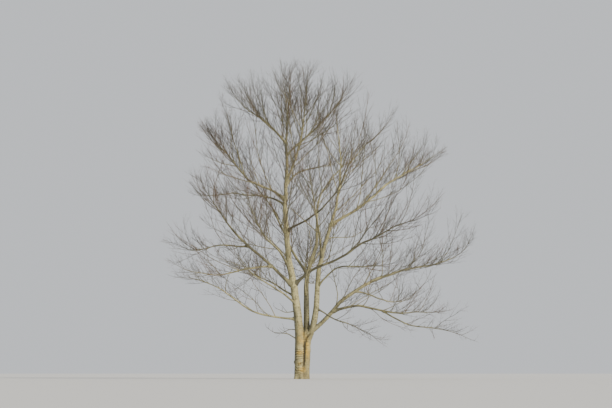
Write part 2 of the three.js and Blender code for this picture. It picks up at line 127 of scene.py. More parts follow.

# Limbs, as their solids have them. A limb starts on another, at a distance along it, or on a
# foot of its own in the bole, where "at" is the length that is one piece with the bole.
# Headings and rises are spread evenly along it. "bare" is the length before its twigs start,
# "girth" and "tip" the thickness at the foot and there, "tone" the bark's painted light and
# shade, from lit cream to shaded olive, "rust" the share of the shoots whose twigs are rusty, and
# "dense" how many of the shoots grow that the solids leave out.
STEP = 400
FEWEST_RUNS = 6
WANDER = 5
TWIG_END = 6
LIMB_TAPER = 0.85
LIMB_KEYS = ("name", "start", "at", "heading", "rise", "length", "bare", "girth", "tip",
             "vigour", "tone", "rust", "dense")
LIMB_ROWS = [
    ("left_leader", (-90, -20, 1500), 850, [180], [88, 83, 80, 77, 84, 86, 93, 95, 87, 90, 95, 89, 83],
     12300, 9000, 400, 100, 1.15, 0.85, 0.25, 1.5),
    ("middle_leader", (190, 120, 1500), 850, [70, 40, 10, 30, 30, 34],
     [89, 91, 90, 78, 68, 91, 88, 55, 46, 48, 52, 62], 10800, 6400, 300, 80, 1.1, 0.4, 0.2, 0.6),
    ("right_leader", (190, -20, 1500), 1100, [0],
     [64, 75, 85, 90, 78, 76, 72, 79, 80, 85, 96, 98, 95, 90], 11200, 7200, 300, 85, 1.15, 0.25, 0.5, 0.8),
    ("low_right", (220, -60, 1830), 850, [0, 4, 10], [36, 42, 54, 34, 28, 18, 20, 8, 13, 28, 56, 66],
     9000, 4600, 200, 105, 1, 0.65, 0.15, 1.6),
    ("left_sweep", "left_leader", 2400, [188, 196], [37, 44, 39, 35, 39, 49, 52, 54, 57, 58],
     6400, 3600, 150, 90, 1, 0.85, 0.4, 1.4),
    ("left_reach", "left_sweep", 2600, [172, 166], [-8, 6, 4, -17, -4, 24, 24, 22],
     4000, 1500, 80, 56, 0.75, 0.75, 0.35, 1.5),
    ("left_trail", "left_sweep", 1250, [202, 208], [-2, -12, -16, -9, -1, 8, 28, 36],
     4900, 1900, 90, 62, 0.8, 0.6, 0.6, 1.6),
    ("front_left", "left_leader", 2750, [238, 236], [50, 52, 26, 22, 50, 56, 62, 66],
     5400, 2400, 120, 72, 1, 0.75, 0.5, 1.3),
    ("upper_left", "left_leader", 6200, [167, 158], [44, 26, 28, 50, 54, 46, 54, 66],
     5500, 2500, 120, 80, 1.25, 0.5, 0.5, 1.1),
    ("level_left", "left_leader", 5980, [152, 148], [34, 20, 8, 12, 4, 2, 10, 32],
     5600, 2500, 90, 62, 0.8, 0.6, 0.4, 1),
    ("lowest_left", "left_leader", 1000, [184, 194], [2, 6, 20, 34, 30, 24, 0, 24],
     6000, 3200, 90, 60, 0.7, 0.45, 0.15, 1.6),
    ("back_left_low", "left_leader", 1950, [132, 124], [24, 26, 18, 22, 38, 50],
     5200, 2200, 90, 60, 0.9, 0.7, 0.2, 1.3),
    ("back_right_high", "left_leader", 6800, [35, 42], [58, 34, 14, 20, 36, 50],
     4900, 1900, 90, 64, 0.95, 0.65, 0.25, 0.45),
    ("top_left", "left_leader", 8750, [194, 206], [50, 42, 28, 26, 44, 66],
     3550, 1000, 80, 64, 1.1, 0.55, 0.2, 1.6),
    ("top_right", "left_leader", 8200, [350, 345], [50, 36, 42, 50, 62, 76],
     4600, 1800, 90, 68, 1.1, 0.6, 0.2, 0.75),
    ("mid_right", "left_leader", 4800, [322, 330], [31, 13, 23, 28, 38, 42, 39, 39, 42, 45],
     5200, 2400, 100, 66, 0.95, 1.0, 0.2, 0.55),
    ("front_cross", "left_leader", 2450, [334, 338],
     [37, 36, 28, 12, 18, 34, 27, 20, 32, 22, 7, 14, 21, 28], 7200, 3800, 130, 80, 1.05, 1.0, 0.4, 1.2),
    ("front_right", "right_leader", 2420, [322, 330], [44, 38, 16, -10, -8, 2, 14, 36],
     4700, 2200, 80, 56, 0.75, 0.75, 0.3, 1.4),
    ("front_rise", "right_leader", 3700, [262, 256], [46, 48, 48, 56, 70],
     5400, 2200, 100, 68, 1, 0.65, 0.3, 1),
    ("back_left", "middle_leader", 2950, [156, 150], [48, 58, 68, 64, 52, 48, 50, 58],
     7000, 3400, 130, 82, 1.1, 0.85, 0.25, 1),
    ("upper_right", "right_leader", 5200, [8, 22], [30, 30, 42, 45, 28, 29, 34, 40],
     6900, 3400, 130, 90, 1.15, 0.5, 0.3, 1),
    ("hanging_right", "right_leader", 1500, [328, 322], [-24, -30, -15, -25, -30, 20],
     3900, 1700, 70, 46, 0.55, 0.85, 0.2, 1.6),
    ("lower_right", "low_right", 1460, [338, 345], [15, 11, -12, -12, 1, 1, 4, 26],
     5300, 2550, 120, 74, 0.8, 0.65, 0.45, 1.7),
    ("lowest_right", "lower_right", 2250, [352, 356], [-34, -30, -14, -4, -14, -26, -22],
     4150, 1700, 70, 50, 0.6, 0.75, 0.3, 1.8),
    ("back_right_low", "low_right", 2750, [44, 48], [0, -8, -6, 6, 26, 40],
     5000, 2200, 80, 56, 0.85, 0.7, 0.3, 1),
    ("back_low", "middle_leader", 2100, [92, 84], [34, 26, 24, 30, 46, 56],
     6600, 3000, 110, 70, 1, 0.75, 0.25, 1.4),
    ("back_right", "right_leader", 6600, [34, 30], [68, 68, 52, 42, 42, 56],
     4600, 1900, 85, 66, 1.1, 0.6, 0.25, 0.55),
    ("front_high", "left_leader", 7000, [310, 290, 275], [50, 56, 62, 68, 76],
     5200, 2000, 100, 72, 1.15, 0.55, 0.2, 1.3),
    ("front_left_low", "left_leader", 1600, [240, 232], [24, 18, 14, 22, 40, 52],
     5400, 2300, 90, 62, 0.9, 0.65, 0.25, 1),
]

# Short dead limbs low on the left, and a pale level one on the right: foot, headings, rises,
# length, thickness at the foot, tone and vigour.
SNAGS = {
    "hooked": ((-230, -60, 1660), [184], [30, 20, 10, 12, 40, 95], 1650, 56, 0.9, 0.45),
    "level": ((-230, -40, 2040), [178], [4, -6, -24, -6, 10], 1000, 44, 0.9, 0.45),
    "curling": ((-330, -60, 2830), [186], [-14, -8, 22, 24, 70], 1050, 50, 0.8, 0.45),
    "level_right": ((1030, -20, 5930), [338, 350], [4, 2, 6, 22, 10, 16, 30], 3300, 46, 0.15, 0.8),
}
SNAG_KEY = 60
SNAG_RUNS = 8
SNAG_WANDER = (14, 9)

# Twigs, by the solids' rule. The solids keep one slot in "keep"; here a share "fill" of the
# others grows too, "weak" times as long, and the rule goes on to the twiglets. "airy" sets
# that share by height instead: its low value and the two levels between which it rises to 1.
# A twig is at most "most" times as long as its parent. "rings" is how many rings a mesh of
# one twig has. Where "space" holds, a twig keeps to its mass's own space.
RULE = {"pick": 0, "keep": 1, "runs": 1, "sway": 0.1, "shorten": 0.7, "slender": 0.012,
        "weak": 1, "fill": 1, "airy": None, "most": 1, "skip": 0, "space": False, "curl": 1,
        "sides": 3}
SHOOTS = {**RULE, "gap": 380, "first": 180, "keep": 4, "pick": 1, "length": 2050, "spread": 36,
          "lift": 0.42, "thickness": 7, "runs": 2, "weak": 0.75, "fill": 0.4, "rings": 6,
          "sides": 4, "skip": 1, "space": True}
TWIGS = {**RULE, "gap": 450, "first": 330, "keep": 5, "pick": 2, "length": 760, "spread": 32,
         "lift": 0.35, "thickness": 4, "weak": 0.6, "fill": 0.75, "rings": 4, "skip": 1,
         "space": True}
TWIGLETS = {**RULE, "gap": 88, "first": 50, "length": 300, "spread": 34, "lift": 0.4,
            "thickness": 2.8, "slender": 0.006, "rings": 3}
# Thinner side limbs between the boughs that are solids, and what grows on them.
SIDE_LIMBS = {**RULE, "gap": 300, "first": 0, "keep": 2, "length": 3700, "spread": 37,
              "lift": 0.2, "thickness": 10, "slender": 0.0085, "runs": 7, "sway": 0.15,
              "shorten": 0.5, "weak": 0.4, "airy": (0.4, 4000, 9500), "rings": 15, "sides": 6,
              "skip": 6, "curl": 0.35}
SIDE_SHOOTS = {**SHOOTS, "gap": 270, "keep": 1, "pick": 0, "spread": 30, "space": False,
               "most": 0.55, "sides": 3}
SIDE_TWIGS = {**TWIGS, "keep": 3, "fill": 0.5, "space": False, "skip": 0, "most": 0.6}
SNAG_SHOOTS = {**TWIGS, "gap": 210, "first": 60, "keep": 1, "pick": 0, "length": 1000,
               "thickness": 13, "slender": 0.02, "spread": 40, "lift": 1.4, "shorten": 0.5,
               "runs": 2, "rings": 6, "sides": 4, "space": False, "skip": 0}
SIDE_FROM = 0.3  # share of a bough's bare length at which its side limbs start
SIDE_TO = 0.5  # share of a mass's stem at which they end
SIDE_KEY = 77
SIDE_VIGOUR = 0.8
SIDE_BARE = 0.2
CURL_TOP = 7000  # below this height twigs grow ever more hooked, except the solids' own
CURL_FADE = 3000
CURL_ANGLE = 0.55
CURL_SWAY = 3.5
OVERHANG = 120  # how far a twig may pass the solids' furthest tips
REACH_SIDES = 240  # directions in which the solids' reach is taken
GOLDEN_SHARE = 0.618034
STRAY_SHARE = 0.2
UNDERSIDE = 130
VARY = 0.35
VARY_ANGLE = 0.25
TRIMS = (1, 0.75, 0.5)
TWIG_TAPER = 0.75
LAST_RING = 0.9  # share of a twig's length from which it comes to a point
BORE_SHARE = 0.75
PROBE = 70
SPACE_MARGIN = 60
LIMB_MARGIN = 45
TAIL = 70  # length at a parent's end with no more slots
BATCH = 20000  # how many points are tried for room at once
STEM_SIDES_HIGH = 7
STEM_RINGS = 110  # distance between the rings of a mass's stem
STEM_DIP = 25  # how far a mass's stem starts inside its bough
STEM_TINT = 0.2
BUD_SHARE = 0.15  # share of the twiglets that end in a bud

# The masses that each twig piece stands for.
CROWN_PARTS = {
    "twigs_top": ["left_leader", "top_left", "top_right", "front_high"],
    "twigs_high_right": ["right_leader", "back_right", "back_right_high", "front_rise"],
    "twigs_back": ["middle_leader", "back_left", "back_low"],
    "twigs_left": ["left_sweep", "left_reach", "left_trail", "lowest_left",
                   "back_left_low", "front_left_low"],
    "twigs_high_left": ["upper_left", "level_left", "front_left"],
    "twigs_right": ["low_right", "lower_right", "lowest_right", "hanging_right",
                    "back_right_low", "front_right"],
    "twigs_mid_right": ["upper_right", "mid_right", "front_cross"],
}

# Patterns of noise in the materials: the coordinates, the size of a lump in millimetres, the
# detail, how far it is stretched across and along, and the range that it is brought from and
# to. The fine grain of bark, 1 mm wide on a real tree, and a bud's scales, 2 mm, are drawn
# 5 to 9 mm wide so that they show. The values are numbers that the mesh carries, with the
# range that each is brought from and to.
BARK_PATTERNS = {
    "broad": ("Object", 420, 3, 1, 2, 0.3, 0.7, -0.5, 0.5),
    "streak": ("grain", 30, 3, 1, 5, 0.35, 0.7, 0, 0.4),
    "bands": ("grain", 34, 2, 7, 1, 0.56, 0.66, 0, 0.7),
    "sunlight_breakup": ("grain", 150, 3, 1, 1, 0.35, 0.6, 0.45, 1),
    "lichen": ("grain", 130, 4, 1, 1, 0.6, 0.7, 0, 0.4),
    "fibre": ("grain", 9, 3, 1, 3, 0, 1, 0, 1),
}
# The mesh's "bole" value is painted golden sunlight.
BARK_VALUES = {"golden": ("bole", 0, 1, 0, 1), "ringed": ("bole", 0, 1, 0.35, 1),
               # The mesh's "hollow" value is painted shade in creases, furrows and hollows.
               "hollow": ("hollow", 0.05, 0.55, 0, 0.9)}
TWIG_PATTERNS = {
    "drift": ("Object", 60, 2, 1, 1, 0.3, 0.7, -0.2, 0.2),
    "mottle": ("Object", 60, 2, 1, 1, 0.5, 0.75, 0, 0.35),
    "fibre": ("Object", 8, 2, 1, 1, 0, 1, 0, 1),
}
TWIG_VALUES = {"rusty": ("tint", 0.5, 1, 0, 1), "old": ("tint", 0, 0.4, 0.5, 0),
               "thick": ("thick", 0.005, 0.024, 0, 1)}
BUD_PATTERNS = {"scales": ("Object", 5, 2, 1, 1, 0.4, 0.6, 0, 1)}


def linear(code):
    """An sRGB hex colour as linear red, green, blue and alpha."""
    channels = [int(code[place:place + 2], 16) / 255 for place in (1, 3, 5)]
    return tuple(
        value / 12.92 if value <= 0.04045 else ((value + 0.055) / 1.055) ** 2.4
        for value in channels
    ) + (1.0,)


def colour(name, description, code):
    """A colour that a user can change."""
    return bpy.props.FloatVectorProperty(
        name=name, description=description, subtype="COLOR", size=4, min=0, max=1,
        default=linear(code),
    )


def length(name, description, default):
    """A size in metres that a user can change."""
    return bpy.props.FloatProperty(
        name=name, description=description, default=default, min=0, unit="LENGTH",
    )


class TreeBarkSettings(bpy.types.PropertyGroup):
    """The bark of the bole, the leaders and the boughs."""

    voxel: length("Bole mesh size", "Size of one face of the bole's mesh", 0.012)
    ridge: length("Bark ridges", "Height of the ridges on the bole's bark", 0.009)
    # Painted light and shade: cream is the lit bark and olive the shaded bark; olive also colours the
    # bark's streaks.
    cream: colour("Lit bark", "Pale cream bark of the leaders", "#dcd29c")
    olive: colour("Dark bark", "Olive bark of the darker boughs", "#716e58")
    # Painted sunlight: the colour of the low sun's golden patches on the bole.
    gold: colour("Bole bark", "Golden tan bark of the bole", "#ecc254")
    # Painted shade in creases, furrows and the groove, also the colour of the bark's fine ring lines.
    hollow: colour("Bark hollows", "Bark in the furrows and the fork", "#453d30")
    lichen: colour("Lichen", "Grey-green lichen in patches", "#8f967f")


class TreeTwigSettings(bpy.types.PropertyGroup):
    """The twigs and buds of the crown."""

    brown: colour("Twig brown", "Grey-brown bark of the twigs", "#6b665a")
    dark: colour("Twig dark", "Dark bark of the older shoots", "#4c483e")
    rust: colour("Twig rust", "Rusty bark of last year's shoots", "#7d5e45")
    bud: colour("Bud scales", "Red-brown scales of the buds", "#4d3227")
    bud_length: length("Bud length", "Length of a bud at a twig's end", 0.011)
    bud_width: length("Bud width", "Thickness of a bud", 0.0055)


class TreeStageSettings(bpy.types.PropertyGroup):
    """Floor, light and camera."""

    floor: colour("Floor", "Plain pale floor", "#d9d8d4")
    sky: colour("Surround", "Plain pale surround", "#dfe2e6")
    distance: length("Camera distance", "From the bole to the camera", 36.3)
    height: length("Camera height", "Height of the camera", 0.25)
    aside: length("Camera offset", "How far right of the bole the camera is", 0.17)
    tilt: bpy.props.FloatProperty(
        name="Camera tilt", description="How far up the camera looks", subtype="ANGLE",
        default=math.atan(169 / 850),
    )


# Chance and noise

def chance(*keys):
    """Numbers from 0 to 1 that depend on whole numbers alone, as the solids' rule has them."""
    keys = np.broadcast_arrays(*[np.atleast_1d(key) for key in keys])
    value = np.full(keys[0].shape, 2166136261, np.uint32)
    for key in keys:
        value = (value ^ key.astype(np.int64).astype(np.uint32)) * np.uint32(16777619)
        value ^= value >> np.uint32(13)
    value = value * np.uint32(2246822519)
    value ^= value >> np.uint32(15)
    value = value * np.uint32(3266489917)
    value ^= value >> np.uint32(16)
    return value / 4294967296.0


def spread(*keys):
    """Numbers from -1 to 1."""
    return 2 * chance(*keys) - 1


def keyed(keys, number, draw=chance):
    """One draw for each row of keys."""
    return draw(*keys.T, number)


def noise(points, seed):
    """Smooth noise from 0 to 1 at points whose unit is one lump."""
    cell = np.floor(points).astype(np.int64)
    part = points - cell
    part = part * part * (3 - 2 * part)
    total = np.zeros(len(points))
    for corner in range(8):
        offset = np.array([corner & 1, corner >> 1 & 1, corner >> 2 & 1])
        weight = np.prod(np.where(offset, part, 1 - part), axis=1)
        total += weight * chance(*(cell + offset).T, seed)
    return total


def unit(vectors):
    """Vectors of length one."""
    return vectors / np.maximum(np.linalg.norm(vectors, axis=-1, keepdims=True), 1e-9)


def squared_distances(first, second):
    """The square of every distance between two lists of points."""
    a, b = first.astype(np.float32), second.astype(np.float32)
    return np.maximum((a * a).sum(1)[:, None] + (b * b).sum(1) - 2 * a @ b.T, 0)


# Limbs

def bearing(heading, rise):
    """Directions from headings and rises in degrees."""
    azimuth, height = np.radians(heading), np.radians(rise)
    return np.stack([
        np.cos(height) * np.cos(azimuth), np.cos(height) * np.sin(azimuth), np.sin(height),
    ], axis=-1)


def profile(values, t):
    """The values at shares t of an evenly spaced list."""
    return np.interp(t, np.linspace(0, 1, len(values)), values)


def tangents(path, leave=None):
    """Slopes, for one run, of the rounded lines through paths, which may leave their feet in
    a direction of their own."""
    slopes = np.empty_like(path)
    first = path[..., 1, :] - path[..., 0, :]
    slopes[..., 1:-1, :] = (path[..., 2:, :] - path[..., :-2, :]) / 2
    if leave is None:
        slopes[..., 0, :] = 2 * first - slopes[..., 1, :]
    else:
        slopes[..., 0, :] = leave * np.linalg.norm(first, axis=-1, keepdims=True)
    slopes[..., -1, :] = 2 * (path[..., -1, :] - path[..., -2, :]) - slopes[..., -2, :]
    return slopes


def rounded(path, slopes, place):
    """Points and slopes of rounded lines. Each row has a path, its slopes and places
    along it, counted in runs."""
    index = np.clip(np.floor(place).astype(int), 0, path.shape[1] - 2)
    t = (place - index)[..., None]
    row = np.arange(len(path)).reshape(-1, *[1] * (place.ndim - 1))
    p0, p1 = path[row, index], path[row, index + 1]
    m0, m1 = slopes[row, index], slopes[row, index + 1]
    point = ((2 * t**3 - 3 * t**2 + 1) * p0 + (t**3 - 2 * t**2 + t) * m0
             + (3 * t**2 - 2 * t**3) * p1 + (t**3 - t**2) * m1)
    slope = ((6 * t**2 - 6 * t) * (p0 - p1) + (3 * t**2 - 4 * t + 1) * m0
             + (3 * t**2 - 2 * t) * m1)
    return point, slope


def radius_at(plant, row, distance):
    """Radii at distances along limbs or twigs."""
    knee, whole = plant["knee"][row], plant["length"][row]
    power = plant["power"]
    low = (np.minimum(distance, knee) / np.maximum(knee, 1e-9)) ** power
    high = (np.clip((distance - knee) / (whole - knee), 0, 1)) ** power
    foot, tip, end = plant["foot_r"][row], plant["tip_r"][row], plant["end_r"][row]
    return np.where(distance < knee, foot + (tip - foot) * low, tip + (end - tip) * high)


def place_straight(limb, distance):
    """The point at a distance along a limb's path of equal straight runs."""
    path, run = limb["path"], limb["run"]
    index = int(min(max(distance // run, 0), len(path) - 2))
    return path[index] + unit(path[index + 1] - path[index]) * (distance - index * run)


def with_path(limb, start, runs, wander, settle):
    """A limb with its path of equal runs. Headings and rises stray by up to wander degrees,
    and by less over the first quarter where settle holds."""
    order = np.arange(runs)
    t = (order + 0.5) / runs
    stray = np.minimum(1, 4 * t) if settle else np.ones(runs)
    heading = profile(limb["heading"], t) + wander[0] * stray * spread(limb["index"], order, 1)
    rise = profile(limb["rise"], t) + wander[1] * stray * spread(limb["index"], order, 2)
    moves = bearing(heading, rise) * limb["length"] / runs
    path = np.vstack([[start], start + np.cumsum(moves, axis=0)])
    return {**limb, "path": path, "run": limb["length"] / runs, "slopes": tangents(path)}


def grow_limbs():
    """The limbs' paths, each from the place that it leaves on another."""
    grown_limbs = {}
    for index, row in enumerate(LIMB_ROWS):
        limb = {**dict(zip(LIMB_KEYS, row)), "index": index}
        limb["parent"] = grown_limbs.get(limb["start"])
        start = np.array(limb["start"], float) if limb["parent"] is None else place_straight(
            limb["parent"], limb["at"])
        runs = max(FEWEST_RUNS, math.floor(limb["length"] / STEP + 0.5))
        grown_limbs[limb["name"]] = with_path(limb, start, runs, (WANDER, WANDER), True)
    return list(grown_limbs.values())


def grow_snags():
    """The short dead limbs, as rows of one plant."""
    rows = []
    for number, (foot, heading, rise, long, girth, tone, vigour) in enumerate(SNAGS.values()):
        snag = {"index": SNAG_KEY + number, "heading": heading, "rise": rise, "length": long,
                "bare": 0.4 * long, "girth": girth, "tip": 0.7 * girth, "tone": tone,
                "vigour": vigour, "rust": 0.3, "dense": 1}
        path = with_path(snag, np.array(foot, float), SNAG_RUNS, SNAG_WANDER, False)
        rows.append({**path, "index": number})
    return rows


def as_plant(limbs):
    """All limbs as rows of equal length, for growing twigs on them together."""
    most = max(len(limb["path"]) for limb in limbs)
    plant = {key: np.array([limb[key] for limb in limbs], float)
             for key in ("run", "length", "vigour", "bare", "girth", "tip", "tone", "rust", "dense")}
    for key in ("path", "slopes"):
        plant[key] = np.array([np.pad(limb[key], ((0, most - len(limb[key])), (0, 0)),
                                      mode="edge") for limb in limbs])
    index = np.array([limb["index"] for limb in limbs])
    return {
        **plant, "runs": np.array([len(limb["path"]) - 1 for limb in limbs]),
        "shift": np.zeros((len(limbs), 3)), "start": plant["bare"], "keys": index[:, None],
        "owner": index, "knee": plant["bare"], "foot_r": plant["girth"] / 2,
        "tip_r": plant["tip"] / 2, "end_r": np.full(len(limbs), TWIG_END / 2),
        "power": LIMB_TAPER, "tint": np.zeros(len(limbs)),
    }


# Room for each twig

def sample_limbs(limbs, plant):
    """Points along every bough with its radius there, and along every mass's stem."""
    boughs, radii, stems, owners = [], [], [], []
    for limb in limbs:
        for distance in np.arange(0, limb["length"], PROBE):
            point = place_straight(limb, distance)
            if distance < limb["bare"]:
                boughs.append(point)
                radii.append(float(radius_at(plant, limb["index"], distance)))
            else:
                stems.append(point)
                owners.append(limb["index"])
    return {"boughs": np.array(boughs), "radii": np.array(radii),
            "stems": np.array(stems), "owners": np.array(owners)}


def reach_of(points):
    """Directions all round, and how far points reach along each."""
    order = np.arange(REACH_SIDES) + 0.5
    height = 1 - 2 * order / REACH_SIDES
    turn = 2 * np.pi * GOLDEN_SHARE * order
    flat = np.sqrt(1 - height**2)
    directions = np.stack([flat * np.cos(turn), flat * np.sin(turn), height], axis=-1)
    directions = np.vstack([directions, np.eye(3), -np.eye(3)])
    return {"directions": directions, "limits": (points @ directions.T).max(0)}


def is_free(points, radii, owners, room, space):
    """Where a point is clear of every bough and, if asked, in its owner's own space."""
    middle = room["boughs"].mean(0)
    free = np.zeros(len(points), bool)
    for owner in np.unique(owners):
        own = room["owners"] == owner
        for rows in np.array_split(np.flatnonzero(owners == owner), 1 + len(points) // BATCH):
            at = points[rows] - middle
            limit = room["radii"] + radii[rows, None] + LIMB_MARGIN
            free[rows] = (squared_distances(at, room["boughs"] - middle) >= limit**2).all(1)
            if space:
                near = np.sqrt(squared_distances(at, room["stems"] - middle))
                free[rows] &= near[:, own].min(1) + SPACE_MARGIN < near[:, ~own].min(1)
    return free


def way_is_free(paths, radii, owners, room, order):
    """Where a twig ends within the solids' reach and its whole way is free, apart from its
    first few points."""
    free = np.ones(len(paths), bool)
    if room and "limits" in room:
        past = paths[:, -1] @ room["directions"].T - room["limits"]
        free = (past < OVERHANG).all(1)
    if not order["skip"]:
        return free
    probes, rows = [], []
    for run in range(paths.shape[1] - 1):
        tries = np.ceil(np.linalg.norm(paths[:, run + 1] - paths[:, run], axis=1) / PROBE)
        tries = tries.astype(int)
        row = np.repeat(np.arange(len(paths)), tries)
        step = np.arange(len(row)) - np.repeat(np.cumsum(tries) - tries, tries) + 1
        keep = step + run * tries[row] > order["skip"]
        row, step = row[keep], step[keep]
        share = (step / tries[row])[:, None]
        probes.append(paths[row, run] * (1 - share) + paths[row, run + 1] * share)
        rows.append(row)
    rows, probes = np.concatenate(rows), np.concatenate(probes)
    blocked = rows[~is_free(probes, radii[rows], owners[rows], room, order["space"])]
    free[blocked] = False
    return free


# Twigs

def slots_on(plant, order):
    """The parent, the number and the distance of every slot along the parents."""
    pitch = order["gap"] / order["keep"]
    nearest = plant["start"] + order["first"] - order["pick"] * pitch
    end = plant.get("end", plant["length"] - TAIL)
    count = np.ceil((end - nearest) / pitch).astype(int).clip(0)
    row = np.repeat(np.arange(len(count)), count)
    slot = np.arange(len(row)) - np.repeat(np.cumsum(count) - count, count)
    return row, slot, nearest[row] + slot * pitch


def twig_directions(parent, slot, order, keys, curl):
    """The directions in which twigs leave their parents."""
    level = unit(np.cross(parent, UP))
    upper = np.cross(level, parent)
    share = (keyed(keys[:, :-1], 3) + slot * GOLDEN_SHARE + STRAY_SHARE * keyed(keys, 3)) % 1
    reach = UNDERSIDE + (180 - UNDERSIDE) * parent[:, 2] ** 2
    turn = np.radians(reach * (2 * share - 1))[:, None]
    angle = order["spread"] * (1 + CURL_ANGLE * curl) * (1 + VARY_ANGLE * keyed(keys, 4, spread))
    angle = np.radians(angle)[:, None]
    return (parent * np.cos(angle) + upper * np.sin(angle) * np.cos(turn)
            + level * np.sin(angle) * np.sin(turn))


def twig_paths(start, direction, size, order, keys, curl):
    """Paths of equal runs that bend up as they go."""
    runs = order["runs"]
    sway = order["sway"] * (1 + CURL_SWAY * curl)
    points = [start]
    heading = direction.copy()
    for run in range(runs):
        heading[:, 2] += order["lift"] * size / 1000 / runs
        heading[:, 0] += sway * keyed(keys, 10 + run, spread)
        heading[:, 1] += sway * keyed(keys, 20 + run, spread)
        heading = unit(heading)
        points.append(points[run] + heading * (size / runs)[:, None])
    return np.stack(points, axis=1)


def wanted_lengths(plant, order, row, s, keys, kept):
    """How long each twig would be with room enough."""
    t = (s - plant["start"][row]) / (plant["length"] - plant["start"])[row]
    weak = order["weak"] * (0.6 + 0.8 * keyed(keys, 6))
    wanted = order["length"] * plant["vigour"][row] * (1 - order["shorten"] * t)
    wanted *= (1 + VARY * keyed(keys, 5, spread)) * np.where(kept, 1, weak)
    return np.minimum(wanted, order["most"] * plant["length"][row])


def growing_slots(plant, order):
    """The slots in which a twig grows, with the run of the parent's path and whether the
    solids keep each."""
    row, slot, s = slots_on(plant, order)
    keys = np.column_stack([plant["keys"][row], slot])
    run = np.minimum(s // plant["run"][row], plant["runs"][row] - 1).astype(int)
    kept = ((slot - order["pick"]) % order["keep"] == 0) & (slot >= order["pick"])
    kept &= s < plant["length"][row] - order["gap"]
    if order["airy"]:
        low, bottom, top = order["airy"]
        level = plant["path"][row, run, 2]
        fill = low + (1 - low) * np.clip((level - bottom) / (top - bottom), 0, 1)
        grows = keyed(keys, 7) < fill * plant["dense"][row]
    else:
        grows = kept | (keyed(keys, 7) < order["fill"] * plant["dense"][row])
    return [item[grows] for item in (row, slot, s, keys, run, kept)]


def grow(plant, order, room=None):
    """All twigs of one order along their parents."""
    row, slot, s, keys, run, kept = growing_slots(plant, order)
    wanted = wanted_lengths(plant, order, row, s, keys, kept)
    radius = np.minimum((order["thickness"] + order["slender"] * wanted) / 2,
                        BORE_SHARE * radius_at(plant, row, s))
    low = plant["path"][row, run]
    parent = unit(plant["path"][row, run + 1] - low)
    start = low + parent * (s - run * plant["run"][row])[:, None]
    curl = order["curl"] * np.clip((CURL_TOP - start[:, 2]) / CURL_FADE, 0, 1)
    curl = np.where(kept & order["space"], 0, curl)
    direction = twig_directions(parent, slot, order, keys, curl)
    on_line, _ = rounded(plant["path"][row], plant["slopes"][row], s / plant["run"][row])
    shift = on_line - start + plant["shift"][row]
    size, path = np.zeros(len(row)), np.zeros((len(row), order["runs"] + 1, 3))
    for trim in TRIMS if order["skip"] else (1,):
        left = np.flatnonzero(size == 0)
        tried = twig_paths(start[left], direction[left], trim * wanted[left], order,
                           keys[left], curl[left])
        free = way_is_free(tried, radius[left], plant["owner"][row[left]], room, order)
        size[left[free]] = trim * wanted[left[free]]
        path[left[free]] = tried[free]
    good = size > 0
    row, keys, size, radius, path = row[good], keys[good], size[good], radius[good], path[good]
    passed_on = {key: plant[key][row]
                 for key in ("vigour", "owner", "tone", "rust", "tint", "dense")}
    return {
        **passed_on, "order": order, "path": path, "slopes": tangents(path, direction[good]),
        "run": size / order["runs"], "runs": np.full(len(row), order["runs"]),
        "shift": shift[good], "start": np.zeros(len(row)), "length": size, "keys": keys,
        "knee": np.zeros(len(row)), "foot_r": radius, "tip_r": radius,
        "end_r": radius * (1 - TWIG_TAPER), "power": 1,
    }


def tinted(plant):
    """Gives each shoot, with all that grows on it, a colour from 0, brown, to 1, rust."""
    rusty = keyed(plant["keys"], 31) < plant["rust"]
    pale = 0.45 * keyed(plant["keys"], 32)
    return {**plant, "tint": np.where(rusty, 0.6 + 0.4 * keyed(plant["keys"], 33), pale)}


def grow_side_limbs(plant, room):
    """Thinner limbs along the boughs between those that are solids."""
    keys = np.column_stack([plant["keys"], np.full(len(plant["keys"]), SIDE_KEY)])
    end = plant["knee"] + SIDE_TO * (plant["length"] - plant["knee"])
    parents = {**plant, "start": SIDE_FROM * plant["knee"], "end": end, "keys": keys}
    sides = grow(parents, SIDE_LIMBS, room)
    return {**sides, "start": SIDE_BARE * sides["length"],
            "vigour": SIDE_VIGOUR * sides["vigour"]}


def grow_crown(limbs, plant):
    """Every order of twigs, from the side limbs to the twiglets."""
    room = sample_limbs(limbs, plant)
    tips = grow(plant, {**SHOOTS, "fill": 0}, room)["path"][:, -1]
    room.update(reach_of(np.vstack([room["boughs"], room["stems"], tips])))
    stem_shoots = tinted(grow(plant, SHOOTS, room))
    sides = tinted(grow_side_limbs(plant, room))
    side_shoots = tinted(grow(sides, SIDE_SHOOTS, room))
    twigs = [grow(stem_shoots, TWIGS, room), grow(side_shoots, SIDE_TWIGS, room)]
    twiglets = [grow(parent, TWIGLETS, room) for parent in twigs]
    return [sides, stem_shoots, side_shoots, *twigs, *twiglets]


@functools.cache
def grown():
    """The limbs, the same as one plant, and their twigs, grown once for all operators."""
    limbs = grow_limbs()
    plant = as_plant(limbs)
    return limbs, plant, grow_crown(limbs, plant)


# Tubes

def circle(sides):
    """Cosines and sines of evenly spaced turns."""
    turn = 2 * np.pi * np.arange(sides) / sides
    return np.cos(turn), np.sin(turn)


def ring_ways(directions, across, sides):
    """Directions from the middle lines of tubes to the points of their rings."""
    second = unit(np.cross(directions, across))
    first = np.cross(second, directions)
    cos, sin = (part[:, None] for part in circle(sides))
    return first[..., None, :] * cos + second[..., None, :] * sin


